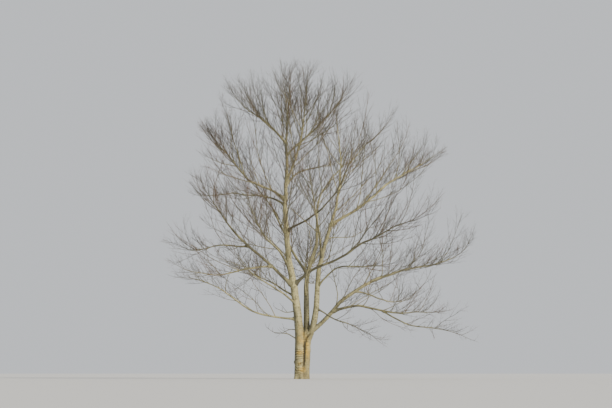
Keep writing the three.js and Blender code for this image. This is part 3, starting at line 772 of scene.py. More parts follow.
def pointed_faces(tubes, rings, sides):
    """Triangles of many tubes with a flat foot and a point at the end."""
    own = (rings - 1) * sides + 1
    side = np.arange(sides)
    after = (side + 1) % sides
    faces = []
    for level in range(rings - 2):
        low, high = level * sides, (level + 1) * sides
        faces.append(np.column_stack([low + side, low + after, high + after]))
        faces.append(np.column_stack([low + side, high + after, high + side]))
    low = (rings - 2) * sides
    faces.append(np.column_stack([low + side, low + after, np.full(sides, own - 1)]))
    fan = np.arange(1, sides - 1)
    faces.append(np.column_stack([np.zeros(sides - 2, int), fan + 1, fan]))
    one = np.vstack(faces)
    return (one[None] + own * np.arange(tubes)[:, None, None]).reshape(-1, 3)


def pointed_tubes(centres, ways, radii, values):
    """Tubes of equal rings that come to a point, with values of one number a tube."""
    tubes, rings = centres.shape[:2]
    sides = ways.shape[2]
    rows = centres[:, :-1, None] + radii[:, :-1, None, None] * ways
    points = np.concatenate([rows.reshape(tubes, -1, 3), centres[:, -1:]], axis=1)
    thick = np.concatenate([np.repeat(radii[:, :-1], sides, axis=1), radii[:, -1:]], axis=1)
    part = {key: np.repeat(value, points.shape[1]) for key, value in values.items()}
    return {**part, "points": points.reshape(-1, 3), "thick": thick.ravel() * METRE,
            "faces": pointed_faces(tubes, rings, sides)}


def twig_tubes(plant):
    """The mesh of all twigs of one order."""
    order = plant["order"]
    share = np.linspace(0, 1, order["rings"]) ** 0.9
    share[-2] = max(share[-2], LAST_RING)
    place = share[None, :] * plant["runs"][:, None]
    centres, slopes = rounded(plant["path"] + plant["shift"][:, None], plant["slopes"], place)
    chord = unit(centres[:, -1] - centres[:, 0])
    upright = np.abs(chord[:, 2:]) > 0.995
    across = unit(np.cross(chord, np.where(upright, [1.0, 0, 0], UP)))
    radii = plant["foot_r"][:, None] * (1 - TWIG_TAPER * share)
    radii[:, 0] *= 1.2
    ways = ring_ways(unit(slopes[:, :-1]), across[:, None, :], order["sides"])
    return pointed_tubes(centres, ways, radii,
                         {key: plant[key] for key in ("tint", "tone", "owner")})


def limb_line(limb, places, sides):
    """Ring centres and ring directions of a stretch of a limb."""
    centres, slopes = rounded(limb["path"][None], limb["slopes"][None],
                              places[None] / limb["run"])
    middle = bearing(profile(limb["heading"], 0.5), 0)
    across = np.array([-middle[1], middle[0], 0.0])
    return centres[0], ring_ways(unit(slopes[0]), across, sides)


def stem_tube(limb, plant, foot):
    """The stem of a limb's twigs, from a distance along the limb to its point."""
    rings = max(12, int((limb["length"] - foot - STEM_DIP) / STEM_RINGS))
    places = np.linspace(foot, limb["length"], rings)
    centres, ways = limb_line(limb, places, STEM_SIDES_HIGH)
    radii = radius_at(plant, limb["index"], places)
    return pointed_tubes(centres[None], ways[None, :-1], radii[None],
                         {"tint": [STEM_TINT], "tone": [limb["tone"]], "owner": [limb["index"]]})


def closed_tube(rings):
    """A tube through rings whose two ends are closed by a middle point each."""
    count, sides = rings.shape[:2]
    side = np.arange(sides)
    after = (side + 1) % sides
    level = (np.arange(count - 1) * sides)[:, None]
    low, low_after = level + side, level + after
    high, high_after = low + sides, low_after + sides
    foot, end, last = count * sides, count * sides + 1, (count - 1) * sides
    faces = np.vstack([
        np.stack([low, low_after, high_after], axis=-1).reshape(-1, 3),
        np.stack([low, high_after, high], axis=-1).reshape(-1, 3),
        np.column_stack([after, side, np.full(sides, foot)]),
        np.column_stack([last + side, last + after, np.full(sides, end)]),
    ])
    points = np.vstack([rings.reshape(-1, 3), rings[0].mean(0), rings[-1].mean(0)])
    return {"points": points, "faces": faces}


def join_parts(parts):
    """One set of arrays from several."""
    starts = np.cumsum([0] + [len(part["points"]) for part in parts[:-1]])
    joined = {key: np.concatenate([part[key] for part in parts])
              for key in parts[0] if key != "faces"}
    joined["faces"] = np.vstack([part["faces"] + start for part, start in zip(parts, starts)])
    return joined


def owned_by(part, owners):
    """What of a part grows on some of the limbs."""
    keep = np.isin(part["owner"], owners)
    number = np.cumsum(keep) - 1
    kept = {key: column[keep] for key, column in part.items() if key != "faces"}
    return {**kept, "faces": number[part["faces"][keep[part["faces"][:, 0]]]]}


def place(name, data):
    """A new object in the scene."""
    piece = bpy.data.objects.new(name, data)
    bpy.context.scene.collection.objects.link(piece)
    return piece


def write_values(mesh, values):
    """Gives a mesh numbers or vectors at its points."""
    for key, column in values.items():
        kind, field = ("FLOAT_VECTOR", "vector") if column.ndim == 2 else ("FLOAT", "value")
        attribute = mesh.attributes.new(key, kind, "POINT")
        attribute.data.foreach_set(field, column.astype(np.float32).ravel())


def make_object(name, part, material):
    """A mesh object from points in millimetres, triangles and values at the points."""
    mesh = bpy.data.meshes.new(name)
    points, faces = part["points"], part["faces"]
    mesh.vertices.add(len(points))
    mesh.vertices.foreach_set("co", (points * METRE).astype(np.float32).ravel())
    mesh.loops.add(faces.size)
    mesh.loops.foreach_set("vertex_index", faces.astype(np.int32).ravel())
    mesh.polygons.add(len(faces))
    mesh.polygons.foreach_set("loop_start", np.arange(0, faces.size, 3, dtype=np.int32))
    mesh.update(calc_edges=True)
    mesh.shade_smooth()
    write_values(mesh, {key: column for key, column in part.items()
                        if key not in ("points", "faces", "owner")})
    mesh.materials.append(material)
    return place(name, mesh)


def fasten(piece, slot, *nodes):
    """Makes a finished piece ride on the tree and stand for its solids."""
    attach(piece, "root")
    if nodes:
        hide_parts(*nodes)


# Bark of the leaders and boughs

def painted_shade(normals):
    """How far bark faces away from the light, from 0 to 1: its share of painted shade."""
    return np.clip(0.9 - normals @ unit(np.array(LIGHT_SIDE)), 0, 1)


def golden(points, dark):
    """How much painted golden sunlight the bark has at points: on the lit side of the low front, in soft
    patches.
    """
    share = sum(np.exp(-((points[:, 0] - x) / wide) ** 2 - ((points[:, 2] - z) / high) ** 2)
                for x, z, wide, high in SUN_PATCHES)
    low = np.clip((2900 - points[:, 2]) / 1500, 0, 1)
    return low * (1 - dark) * np.clip(0.15 + 1.5 * share, 0, 1)


def low_tone(tone, points):
    """A limb's tone, which starts as the bole's, with painted shade that darkens it in the fork."""
    *centre, wide = FORK_SHADE
    dark = 0.5 * np.exp(-((points - centre) ** 2).sum(1) / wide**2)
    rise = np.clip((points[:, 2] - 2350) / 800, 0, 1)
    return BOLE_TONE + dark + (tone - BOLE_TONE) * rise


def bark_relief(coords, seed):
    """Height of the bark from -1 to 1, and how deep in a furrow it is, at points whose
    coordinates run along the limb."""
    swell = noise(coords / [90, 90, 260], seed) - 0.5
    ridge = 1 - np.abs(2 * noise(coords / [26, 26, 120], seed + 1) - 1)
    lump = noise(coords / [34, 34, 34], seed + 2) - 0.5
    collar = 1 - np.abs(2 * noise(coords / [150, 150, 46], seed + 3) - 1)
    height = 0.9 * swell + 0.5 * (ridge - 0.6) + 0.5 * lump + 0.45 * (collar - 0.7)
    return height, np.clip(0.55 - ridge, 0, 1) + np.clip(collar - 0.88, 0, 1) * 3


def with_collar(limb, plant, places, centres, ways, radii):
    """A bough's rings, which start on its carrier's rounded line and swell at its surface."""
    parent = limb["parent"]
    carrier = float(radius_at(plant, parent["index"], limb["at"]))
    there, slope = rounded(parent["path"][None], parent["slopes"][None],
                           np.array([[limb["at"] / parent["run"]]]))
    axis = unit(slope[0, 0])
    leave = unit(limb["path"][1] - limb["path"][0])
    surface = carrier / max(math.sqrt(1 - float(axis @ leave) ** 2), 0.5)
    near = np.exp(-np.maximum(places - surface, 0) / (0.9 * limb["girth"]))
    ways = ways + 0.5 * near[:, None, None] * (ways @ axis)[..., None] * axis
    centres = centres + (there[0, 0] - centres[0]) * np.exp(-places / 200)[:, None]
    return centres, ways, radii * (1 + COLLAR * near)


def bark_tube(limb, plant):
    """The bark of one limb as far as its twigs start."""
    leader = limb["parent"] is None
    sides, spacing = LEADER_MESH if leader else BOUGH_MESH
    foot = limb["at"] - DIP if leader else 0
    places = np.linspace(foot, limb["bare"] + 12, int((limb["bare"] - foot) / spacing) + 2)
    centres, ways = limb_line(limb, places, sides)
    radii = radius_at(plant, limb["index"], places)
    if leader:
        radii = radii * (0.86 + 0.14 * np.clip((places - foot) / (0.6 * DIP), 0, 1))
    else:
        centres, ways, radii = with_collar(limb, plant, places, centres, ways, radii)
    cos, sin = circle(sides)
    around = np.stack([cos, sin, np.zeros(sides)], axis=-1)
    grain = radii[:, None, None] * around[None] + UP * places[:, None, None]
    grain = grain.reshape(-1, 3) + 700.0 * (limb["index"] + 1)
    height, hollow = bark_relief(grain, 100 + 7 * limb["index"])
    reach = np.repeat(radii, sides) + np.repeat(0.6 + 0.05 * radii, sides) * height
    rings = np.repeat(centres, sides, axis=0) + ways.reshape(-1, 3) * reach[:, None]
    part = closed_tube(rings.reshape(len(places), sides, 3))
    part["points"][-2:] = centres[0], centres[-1]
    # Painted light and shade: darker on the sides that face from the light, in the fork and at the middle
    # leader's foot, with painted shade in the furrows and painted golden sunlight on the leaders' lit low
    # front.
    dark = np.append(painted_shade(unit(ways).reshape(-1, 3)), [0, 0])
    along = np.append(np.repeat(places / limb["bare"], sides), [0, 1])
    foot_tone, begin, end = FOOT_TONES.get(limb["name"], (limb["tone"], 0, 1))
    tone = np.interp(along, [begin, end], [foot_tone, limb["tone"]])
    if leader:
        tone = low_tone(tone, part["points"])
    return {
        **part, "grain": np.vstack([grain, grain[0], grain[-1]]) * METRE,
        "hollow": np.append(hollow, [0, 0]),
        "tone": tone + (EDGE_SHADE if leader else BOUGH_EDGE_SHADE) * (dark - MEAN_SHADE),
        "bole": golden(part["points"], dark) if leader else 0 * dark,
    }


# Bark of the bole

def level_rings(centres, radii, levels, sides):
    """Level rings round centres, whose radius may change from side to side."""
    cos, sin = circle(sides)
    x, y = centres[:, :1] + radii * cos, centres[:, 1:2] + radii * sin
    return np.stack([x, y, np.repeat(levels[:, None], sides, axis=1)], axis=-1)


def stem_rings(stem, levels):
    """Rings of one of the bole's two stems, with its flare and root swellings."""
    t = levels / BOLE_TOP
    fade = np.exp(-np.maximum(levels, 0) / FLARE_HEIGHT)
    centres = np.outer(1 - t, stem["foot"]) + np.outer(t, stem["head"])
    radii = stem["low"] * (1 - t) + stem["high"] * t + stem["flare"] * fade
    turn = 2 * np.pi * np.arange(STEM_SIDES) / STEM_SIDES
    flutes = 1 + FLUTE_DEPTH * fade[:, None] * np.cos(FLUTE_COUNT * turn)
    return level_rings(centres, radii[:, None] * flutes, levels, STEM_SIDES)


def fork_rings():
    """Rings of the right stem's top, where it closes between the leaders."""
    levels, radii = np.array(FORK, float).T
    return level_rings(np.array([RIGHT_STEM["head"]]), radii[:, None], levels, STEM_SIDES)


def foot_fill_rings():
    """Rings of the swelling that closes the crease between the stems at the foot."""
    levels = np.linspace(BELOW, FOOT_FILL["top"], 14)
    radii = np.interp(levels, [0, FOOT_FILL["top"]], FOOT_FILL["radii"])
    return level_rings(np.array([FOOT_FILL["foot"]]), radii[:, None], levels, ROOT_SIDES)


def back_root_rings(limbs):
    """Rings of the swelling that carries the back leader out of the bole."""
    leader = next(limb for limb in limbs if limb["name"] == BACK_ROOT["limb"])
    t = np.linspace(0, 1, BACK_ROOT["runs"] + 1)[:, None]
    centres = (1 - t) * np.array(BACK_ROOT["foot"]) + t * leader["path"][0]
    radii = (1 - t) * BACK_ROOT["radius"] + t * leader["girth"] / 2
    return level_rings(centres, radii, centres[:, 2], ROOT_SIDES)


def stub_rings(limb, plant):
    """Rings of the stretch of a leader that is one piece with the bole."""
    places = np.arange(0, limb["at"] + 1, 50).astype(float)
    centres, ways = limb_line(limb, places, ROOT_SIDES)
    radii = radius_at(plant, limb["index"], places)
    radii *= 1 - 0.12 * np.clip((places - limb["at"] + STUB_THINS) / STUB_THINS, 0, 1)
    return centres[:, None] + ways * radii[:, None, None]


def bole_blank(limbs, plant):
    """The bole's stems, fork and leaders' stubs as closed tubes that pass into each other."""
    levels = np.concatenate([[BELOW, BELOW / 2], np.arange(0, BOLE_TOP + 1, 60)])
    tubes = [stem_rings(LEFT_STEM, levels), stem_rings(RIGHT_STEM, levels), fork_rings(),
             foot_fill_rings(), back_root_rings(limbs)]
    tubes += [stub_rings(limb, plant) for limb in limbs if limb["parent"] is None]
    return join_parts([closed_tube(rings) for rings in tubes])


def evaluated_mesh(piece):
    """The mesh of an object with its modifiers, in place of the object's own."""
    graph = bpy.context.evaluated_depsgraph_get()
    made = bpy.data.meshes.new_from_object(piece.evaluated_get(graph), depsgraph=graph)
    piece.modifiers.clear()
    piece.data = made
    return made


def cut_at_ground(mesh):
    """Cuts a closed mesh flat at ground level and closes the cut."""
    shape = bmesh.new()
    shape.from_mesh(mesh)
    everything = shape.verts[:] + shape.edges[:] + shape.faces[:]
    cut = bmesh.ops.bisect_plane(shape, geom=everything, dist=1e-6, plane_co=(0, 0, 0),
                                 plane_no=(0, 0, 1), clear_inner=True)
    rim = [item for item in cut["geom_cut"] if isinstance(item, bmesh.types.BMEdge)]
    bmesh.ops.holes_fill(shape, edges=rim)
    bmesh.ops.triangulate(shape, faces=shape.faces)
    bmesh.ops.recalc_face_normals(shape, faces=shape.faces)
    shape.to_mesh(mesh)
    shape.free()


def mesh_arrays(mesh):
    """Points and normals of a mesh, in millimetres and unit length."""
    count = len(mesh.vertices)
    points, normals = np.empty(count * 3, np.float32), np.empty(count * 3, np.float32)
    mesh.vertices.foreach_get("co", points)
    mesh.vertex_normals.foreach_get("vector", normals)
    return points.reshape(-1, 3) / METRE, normals.reshape(-1, 3).astype(float)


def neighbour_means(values, ends):
    """The mean of each point's neighbours along the edges, whose ends are given."""
    total = np.zeros_like(values)
    for one, other in (ends, ends[::-1]):
        np.add.at(total, one, values[other])
    return total / np.bincount(ends.ravel(), minlength=len(values))[:, None]


def hollowness(mesh, points, normals):
    """How deep each point lies in a crease, from its neighbours, smoothed."""
    edges = np.empty(len(mesh.edges) * 2, np.int32)
    mesh.edges.foreach_get("vertices", edges)
    ends = edges.reshape(-1, 2).T
    smooth = points.copy()
    for _ in range(10):
        smooth = neighbour_means(smooth, ends)
    deep = ((smooth - points) * normals).sum(1, keepdims=True)
    for _ in range(3):
        deep = neighbour_means(deep, ends)
    return np.clip(deep[:, 0] / 9, 0, 1)


def seam_share(points, normals):
    """How deep in the groove between the stems each point of the bole is, up to 1."""
    t = np.linspace(0, 1, 160)
    across, level = (profile(values, t) for values in zip(*SEAM))
    across = across + SEAM_WANDER * np.sin(level / 95) * np.sin(level / 37)
    gap = np.sqrt(squared_distances(points[:, [0, 2]], np.column_stack([across, level])).min(1))
    front = np.clip(-2 * normals[:, 1] + 0.3, 0, 1)
    fade = np.clip((points[:, 2] - 160) / 420, 0, 1)
    return np.exp(-(gap / SEAM_WIDTH) ** 2) * front * fade


def right_share(points):
    """1 on the bole's right stem and 0 on its left one."""
    across, level = zip(*SEAM[::-1])
    return np.clip(0.5 + (points[:, 0] - np.interp(points[:, 2], level, across)) / 90, 0, 1)


def ring_share(points):
    """How far the left stem's bark is folded into rings, and where in a ring each point is."""
    phase = points[:, 2] / RING_GAP + 1.5 * noise(points / [130, 130, 240], 14)
    phase = phase + 0.35 * noise(points / [40, 40, 60], 16)
    zone = sum(np.exp(-((points[:, 2] - middle) / half) ** 2) for middle, half in RING_STACKS)
    zone = zone * (1 - right_share(points)) * (0.25 + 0.75 * noise(points / [130, 130, 90], 15))
    zone = zone * np.clip(0.3 - points[:, 1] / 120, 0, 1)
    return np.clip(2.6 * zone - 0.25, 0, 1), np.cos(2 * np.pi * phase)


def bole_relief(points, ridge):
    """Height of the bole's bark and how deep in a furrow it is: long plates, burrs and the
    rings where the left stem's bark has folded."""
    plates = 1 - np.abs(2 * noise(points / [46, 46, 210], 11) - 1)
    fine = 1 - np.abs(2 * noise(points / [20, 20, 70], 12) - 1)
    lump = noise(points / [120, 120, 150], 13) - 0.5
    zone, wave = ring_share(points)
    height = ridge * (0.8 * (plates - 0.6) + 0.5 * (fine - 0.6) + 1.6 * lump)
    height += RING_HEIGHT * zone * np.clip(wave, -1, 0.6)
    furrow = np.clip(0.5 - plates, 0, 1) * 1.2 + zone * np.clip(-1.9 * wave - 0.7, 0, 0.8)
    for *centre, size, swell in BURRS:
        near = np.exp(-((points - centre) ** 2).sum(1) / size**2)
        height = height + swell * near
        furrow = furrow + (0.6 * near if swell < 0 else 0)
    return height, furrow


def add_modifier(piece, kind, **settings):
    """Adds a modifier with its settings."""
    modifier = piece.modifiers.new(kind.title(), kind)
    for key, value in settings.items():
        setattr(modifier, key, value)


def make_bole(limbs, plant, material, settings):
    """The bole in one skin, cut flat at the ground."""
    piece = make_object("bole_bark", bole_blank(limbs, plant), material)
    add_modifier(piece, "REMESH", mode="VOXEL", voxel_size=settings.voxel,
                 use_smooth_shade=True)
    add_modifier(piece, "SMOOTH", factor=0.5, iterations=7)
    mesh = evaluated_mesh(piece)
    cut_at_ground(mesh)
    points, normals = mesh_arrays(mesh)
    height, furrow = bole_relief(points, settings.ridge / METRE)
    crease, seam = hollowness(mesh, points, normals), seam_share(points, normals)
    dark, right = painted_shade(normals), right_share(points)
    foot = np.clip(points[:, 2] / 60, 0, 1)
    fade = np.clip((3300 - points[:, 2]) / 900, 0.35, 1)
    upper = np.clip((points[:, 2] - 1500) / 600, 0, 1)
    moved = points + normals * ((height * fade - SEAM_DEPTH * seam) * foot)[:, None]
    moved[points[:, 2] < 0.5, 2] = 0
    mesh.vertices.foreach_set("co", (moved * METRE).astype(np.float32).ravel())
    mesh.update()
    # Painted light and shade: "hollow" darkens creases, furrows, the groove and hollow burrs; "tone" is
    # darker on the side away from the light, in the fork and on the lower right stem; "bole" is painted
    # golden sunlight on the lit low front.
    write_values(mesh, {
        "grain": points * METRE,
        "hollow": np.clip(0.55 * crease + 0.7 * furrow + 0.42 * seam, 0, 1),
        "tone": (low_tone(BOLE_TONE, points) + EDGE_SHADE * (dark - MEAN_SHADE)
                 + 0.2 * right * (1 - upper)),
        "bole": golden(points, dark),
    })
    mesh.shade_smooth()
    mesh.materials.clear()
    mesh.materials.append(material)
    return piece


# Materials

def add_node(tree, kind, inputs, output=None, **settings):
    """Adds a node with its own settings. Inputs are values for its sockets, or sockets of
    other nodes that feed them, by name or number, or as a list in the sockets' order. An
    output that is asked for comes back in place of the node."""
    node = tree.nodes.new(kind)
    for key, value in settings.items():
        setattr(node, key, value)
    for key, value in (enumerate(inputs) if isinstance(inputs, list) else inputs.items()):
        if isinstance(value, bpy.types.NodeSocket):
            tree.links.new(value, node.inputs[key])
        else:
            node.inputs[key].default_value = value
    return node if output is None else node.outputs[output]


def start_material(name, patterns, values):
    """A material and its node tree, with each pattern's noise as it is, and each pattern and
    each of the mesh's values brought to its range."""
    material = bpy.data.materials.new(name)
    material.use_nodes = True
    tree = material.node_tree
    tree.nodes.clear()
    raw, ranged = {}, {}
    for key, (where, size, detail, across, along, *limits) in patterns.items():
        if where == "Object":
            where = add_node(tree, "ShaderNodeTexCoord", {}, "Object")
        else:
            where = add_node(tree, "ShaderNodeAttribute", {}, "Vector", attribute_name=where)
        scale = (1 / across, 1 / across, 1 / along)
        where = add_node(tree, "ShaderNodeMapping", {"Vector": where, "Scale": scale}, "Vector")
        raw[key] = add_node(tree, "ShaderNodeTexNoise", {
            "Vector": where, "Scale": 1000 / size, "Detail": detail, "Roughness": 0.6}, "Fac")
        ranged[key] = add_node(tree, "ShaderNodeMapRange", [raw[key], *limits], "Result")
    for key, (name, *limits) in values.items():
        value = add_node(tree, "ShaderNodeAttribute", {}, "Fac", attribute_name=name)
        ranged[key] = add_node(tree, "ShaderNodeMapRange", [value, *limits], "Result")
    return material, tree, raw, ranged


def finish_material(tree, base, layers, inputs):
    """The base colour with others laid over it in turn, each as far as its value says, and
    the surface that has it."""
    for share, over in layers:
        base = add_node(tree, "ShaderNodeMix", {0: share, 6: base, 7: over}, 2,
                        data_type="RGBA")
    surface = add_node(tree, "ShaderNodeBsdfPrincipled", {"Base Color": base, **inputs}, "BSDF")
    add_node(tree, "ShaderNodeOutputMaterial", {"Surface": surface})


def toned(tree, drift, settings):
    """Bark from lit cream to shaded olive, painted light and shade by the mesh's tone, and a pattern that
    drifts round it.
    """
    tone = add_node(tree, "ShaderNodeAttribute", {}, "Fac", attribute_name="tone")
    tone = add_node(tree, "ShaderNodeMath", [tone, drift], 0, operation="ADD")
    tone = add_node(tree, "ShaderNodeMapRange", [tone], "Result")
    return add_node(tree, "ShaderNodeMix", {0: tone, 6: tuple(settings.cream),
                                            7: tuple(settings.olive)}, 2, data_type="RGBA")


def make_bark_material(settings):
    """Smooth-barked hardwood, grown, not worked: matt, with painted light and shade from lit cream
    to shaded olive, painted golden sunlight, fine lengthways grain, rings across it, painted shade in
    the hollows and thin lichen. The eye reads the cream and the dark creases first, so those come from the
    mesh's own values."""
    material, tree, raw, ranged = start_material("hardwood_bark", BARK_PATTERNS, BARK_VALUES)
    # Painted sunlight: golden patches, fading out from 1.2 m to 3.4 m high.
    where = add_node(tree, "ShaderNodeTexCoord", {}, "Object")
    height = add_node(tree, "ShaderNodeSeparateXYZ", [where], "Z")
    gold = add_node(tree, "ShaderNodeMapRange", [height, 1.2, 3.4, 1, 0], "Result")
    for share in (ranged["golden"], ranged["sunlight_breakup"]):
        gold = add_node(tree, "ShaderNodeMath", [gold, share], 0, operation="MULTIPLY")
    lines = add_node(tree, "ShaderNodeMath", [ranged["bands"], ranged["ringed"]], 0,
                     operation="MULTIPLY")
    hollow = tuple(settings.hollow)
    layers = [(gold, tuple(settings.gold)), (ranged["streak"], tuple(settings.olive)),
              (lines, hollow), (ranged["lichen"], tuple(settings.lichen)),
              (ranged["hollow"], hollow)]
    coarse = add_node(tree, "ShaderNodeMath", [raw["streak"], 0.6], 0, operation="MULTIPLY")
    fine = add_node(tree, "ShaderNodeMath", [raw["fibre"], 0.4], 0, operation="MULTIPLY")
    relief = add_node(tree, "ShaderNodeMath", [coarse, fine], 0, operation="ADD")
    normal = add_node(tree, "ShaderNodeBump",
                      {"Strength": 0.7, "Distance": 0.006, "Height": relief}, "Normal")
    finish_material(tree, toned(tree, ranged["broad"], settings), layers,
                    {"Roughness": 0.86, "Specular IOR Level": 0.25, "Normal": normal})
    return material


def make_twig_material(settings, bark):
    """Young hardwood shoots: smooth thin bark, grey-brown to rusty, faintly waxy, that turns
    to the boughs' painted lit cream and shaded olive where the stem is thick."""
    material, tree, raw, ranged = start_material("young_twig_bark", TWIG_PATTERNS, TWIG_VALUES)
    dark = tuple(settings.dark)
    layers = [(ranged["rusty"], tuple(settings.rust)), (ranged["old"], dark),
              (ranged["thick"], toned(tree, ranged["drift"], bark)), (ranged["mottle"], dark)]
    normal = add_node(tree, "ShaderNodeBump",
                      {"Strength": 0.4, "Distance": 0.002, "Height": raw["fibre"]}, "Normal")
    finish_material(tree, tuple(settings.brown), layers,
                    {"Roughness": 0.68, "Specular IOR Level": 0.35, "Normal": normal})
    return material


def make_bud_material(settings):
    """Winter bud scales: thin, hard and slightly sticky, so red-brown with a soft gloss."""
    material, tree, _, ranged = start_material("winter_bud_scales", BUD_PATTERNS, {})
    paler = tuple(min(1.0, 1.7 * part) for part in settings.bud[:3]) + (1.0,)
    finish_material(tree, tuple(settings.bud), [(ranged["scales"], paler)], {"Roughness": 0.42})
    return material


def bark():
    """The bark material, made once."""
    settings = bpy.context.scene.tree_bark
    return bpy.data.materials.get("hardwood_bark") or make_bark_material(settings)


def twig_bark():
    """The twigs' material, made once."""
    scene = bpy.context.scene
    found = bpy.data.materials.get("young_twig_bark")
    return found or make_twig_material(scene.tree_twigs, scene.tree_bark)


# Buds

def bud_tree(material):
    """Nodes that put a pointed bud at every twig's end, along the twig."""
    tree = bpy.data.node_groups.new("buds_on_twigs", "GeometryNodeTree")
    sockets = {}
    for name, kind, way in (("Geometry", "NodeSocketGeometry", "INPUT"),
                            ("Bud Length", "NodeSocketFloat", "INPUT"),
                            ("Bud Width", "NodeSocketFloat", "INPUT"),
                            ("Geometry Out", "NodeSocketGeometry", "OUTPUT")):
        sockets[name] = tree.interface.new_socket(name, in_out=way, socket_type=kind).identifier
    start = add_node(tree, "NodeGroupInput", {}).outputs
    blank = add_node(tree, "GeometryNodeMeshUVSphere", {"Segments": 4, "Rings": 2, "Radius": 0.5},
                     "Mesh")
    along = add_node(tree, "GeometryNodeInputNamedAttribute", {"Name": "along"}, "Attribute",
                     data_type="FLOAT_VECTOR")
    size = add_node(tree, "GeometryNodeInputNamedAttribute", {"Name": "size"}, "Attribute",
                    data_type="FLOAT")
    turn = add_node(tree, "FunctionNodeAlignRotationToVector", {"Vector": along}, "Rotation",
                    axis="Z")
    scale = add_node(tree, "ShaderNodeCombineXYZ",
                     [start["Bud Width"], start["Bud Width"], start["Bud Length"]], "Vector")
    scale = add_node(tree, "ShaderNodeVectorMath", {"Vector": scale, "Scale": size}, "Vector",
                     operation="SCALE")
    placed = add_node(tree, "GeometryNodeInstanceOnPoints",
                      {"Points": start["Geometry"], "Instance": blank, "Rotation": turn,
                       "Scale": scale}, "Instances")
    real = add_node(tree, "GeometryNodeRealizeInstances", {"Geometry": placed}, "Geometry")
    painted = add_node(tree, "GeometryNodeSetMaterial", {"Geometry": real, "Material": material},
                       "Geometry")
    add_node(tree, "NodeGroupOutput", {"Geometry Out": painted})
    return tree, sockets


def bud_places(crown):
    """Where the buds are: at the ends of the shoots, the twigs and some of the twiglets."""
    parts = []
    for plant in crown:
        keep = np.ones(len(plant["path"]), bool)
        if plant["order"] is TWIGLETS:
            keep = keyed(plant["keys"], 41) < BUD_SHARE
        parts.append({"points": plant["path"][keep, -1] + plant["shift"][keep],
                      "along": unit(plant["slopes"][keep, -1]),
                      "size": 0.75 + 0.5 * keyed(plant["keys"][keep], 42)})
    return {key: np.concatenate([part[key] for part in parts]) for key in parts[0]}


def make_buds(name, places, material, settings):
    """One joined mesh of buds at the ends of twigs."""
    piece = make_object(name, {**places, "faces": np.zeros((0, 3), int)}, material)
    tree, sockets = bud_tree(material)
    nodes = piece.modifiers.new("Buds", "NODES")
    nodes.node_group = tree
    nodes[sockets["Bud Length"]] = settings.bud_length
    nodes[sockets["Bud Width"]] = settings.bud_width
    evaluated_mesh(piece)
    return piece


# Operators

class TREE_OT_bole(bpy.types.Operator):
    """Make the bole with its flare, seam and fork in one skin of bark"""

    bl_idname = "tree.bole"
    bl_label = "Bole"
    bl_options = {"REGISTER", "UNDO"}

    def execute(self, context):
        limbs, plant, _ = grown()
        fasten(make_bole(limbs, plant, bark(), context.scene.tree_bark), "bark", "trunk")
        return {"FINISHED"}


class TREE_OT_boughs(bpy.types.Operator):
    """Make the bark of the leaders and of the side boughs"""

    bl_idname = "tree.boughs"
    bl_label = "Leaders and boughs"
    bl_options = {"REGISTER", "UNDO"}

    def execute(self, context):
        limbs, plant, _ = grown()
        leaders = [limb for limb in limbs if limb["parent"] is None]
        boughs = [limb for limb in limbs if limb["parent"] is not None]
        for name, chosen in (("leader_bark", leaders), ("bough_bark", boughs)):
            part = join_parts([bark_tube(limb, plant) for limb in chosen])
            fasten(make_object(name, part, bark()), "bark", *[limb["name"] for limb in chosen])
        return {"FINISHED"}


class TREE_OT_twigs(bpy.types.Operator):
    """Make the side limbs, shoots, twigs and twiglets of every mass"""

    bl_idname = "tree.twigs"
    bl_label = "Twigs"
    bl_options = {"REGISTER", "UNDO"}

    def execute(self, context):
        limbs, plant, crown = grown()
        parts = [twig_tubes(twigs) for twigs in crown]
        parts += [stem_tube(limb, plant, limb["bare"] - STEM_DIP) for limb in limbs]
        for name, masses in CROWN_PARTS.items():
            owners = [limb["index"] for limb in limbs if limb["name"] in masses]
            chosen = [owned_by(part, owners) for part in parts]
            piece = make_object(name, join_parts(chosen), twig_bark())
            fasten(piece, "twigs", *[f"{mass}_twigs" for mass in masses])
        return {"FINISHED"}


class TREE_OT_snags(bpy.types.Operator):
    """Make the short dead limbs low on the bole and the pale level one on the right"""

    bl_idname = "tree.snags"
    bl_label = "Snags"
    bl_options = {"REGISTER", "UNDO"}

    def execute(self, context):
        snags = grow_snags()
        plant = as_plant(snags)
        parts = [stem_tube(snag, plant, 5) for snag in snags]
        shoots = tinted(grow({**plant, "start": plant["start"] * 0.6,
                              "keys": plant["keys"] + SNAG_KEY}, SNAG_SHOOTS))
        parts += [twig_tubes(shoots), twig_tubes(grow(shoots, TWIGLETS))]
        fasten(make_object("snags", join_parts(parts), twig_bark()), "twigs")
        return {"FINISHED"}


class TREE_OT_buds(bpy.types.Operator):
    """Put a bud at the end of the shoots, the twigs and some of the twiglets"""

    bl_idname = "tree.buds"
    bl_label = "Buds"
    bl_options = {"REGISTER", "UNDO"}

    def execute(self, context):
        settings = context.scene.tree_twigs
        material = make_bud_material(settings)
        places = bud_places(grown()[2][1:])
        left = places["points"][:, 0] < 0
        for name, side in (("buds_left", left), ("buds_right", ~left)):
            chosen = {key: column[side] for key, column in places.items()}
            fasten(make_buds(name, chosen, material, settings), "twigs")
        return {"FINISHED"}


def make_floor(settings):
    """A plain pale floor under the tree."""
    mesh = bpy.data.meshes.new("floor")
    reach = 300.0
    mesh.from_pydata([(-reach, -reach, 0), (reach, -reach, 0), (reach, reach, 0),
                      (-reach, reach, 0)], [], [(0, 1, 2, 3)])
    material, tree, _, _ = start_material("plain_floor", {}, {})
    finish_material(tree, tuple(settings.floor), [], {"Roughness": 0.9})
    mesh.materials.append(material)
    place("floor", mesh)


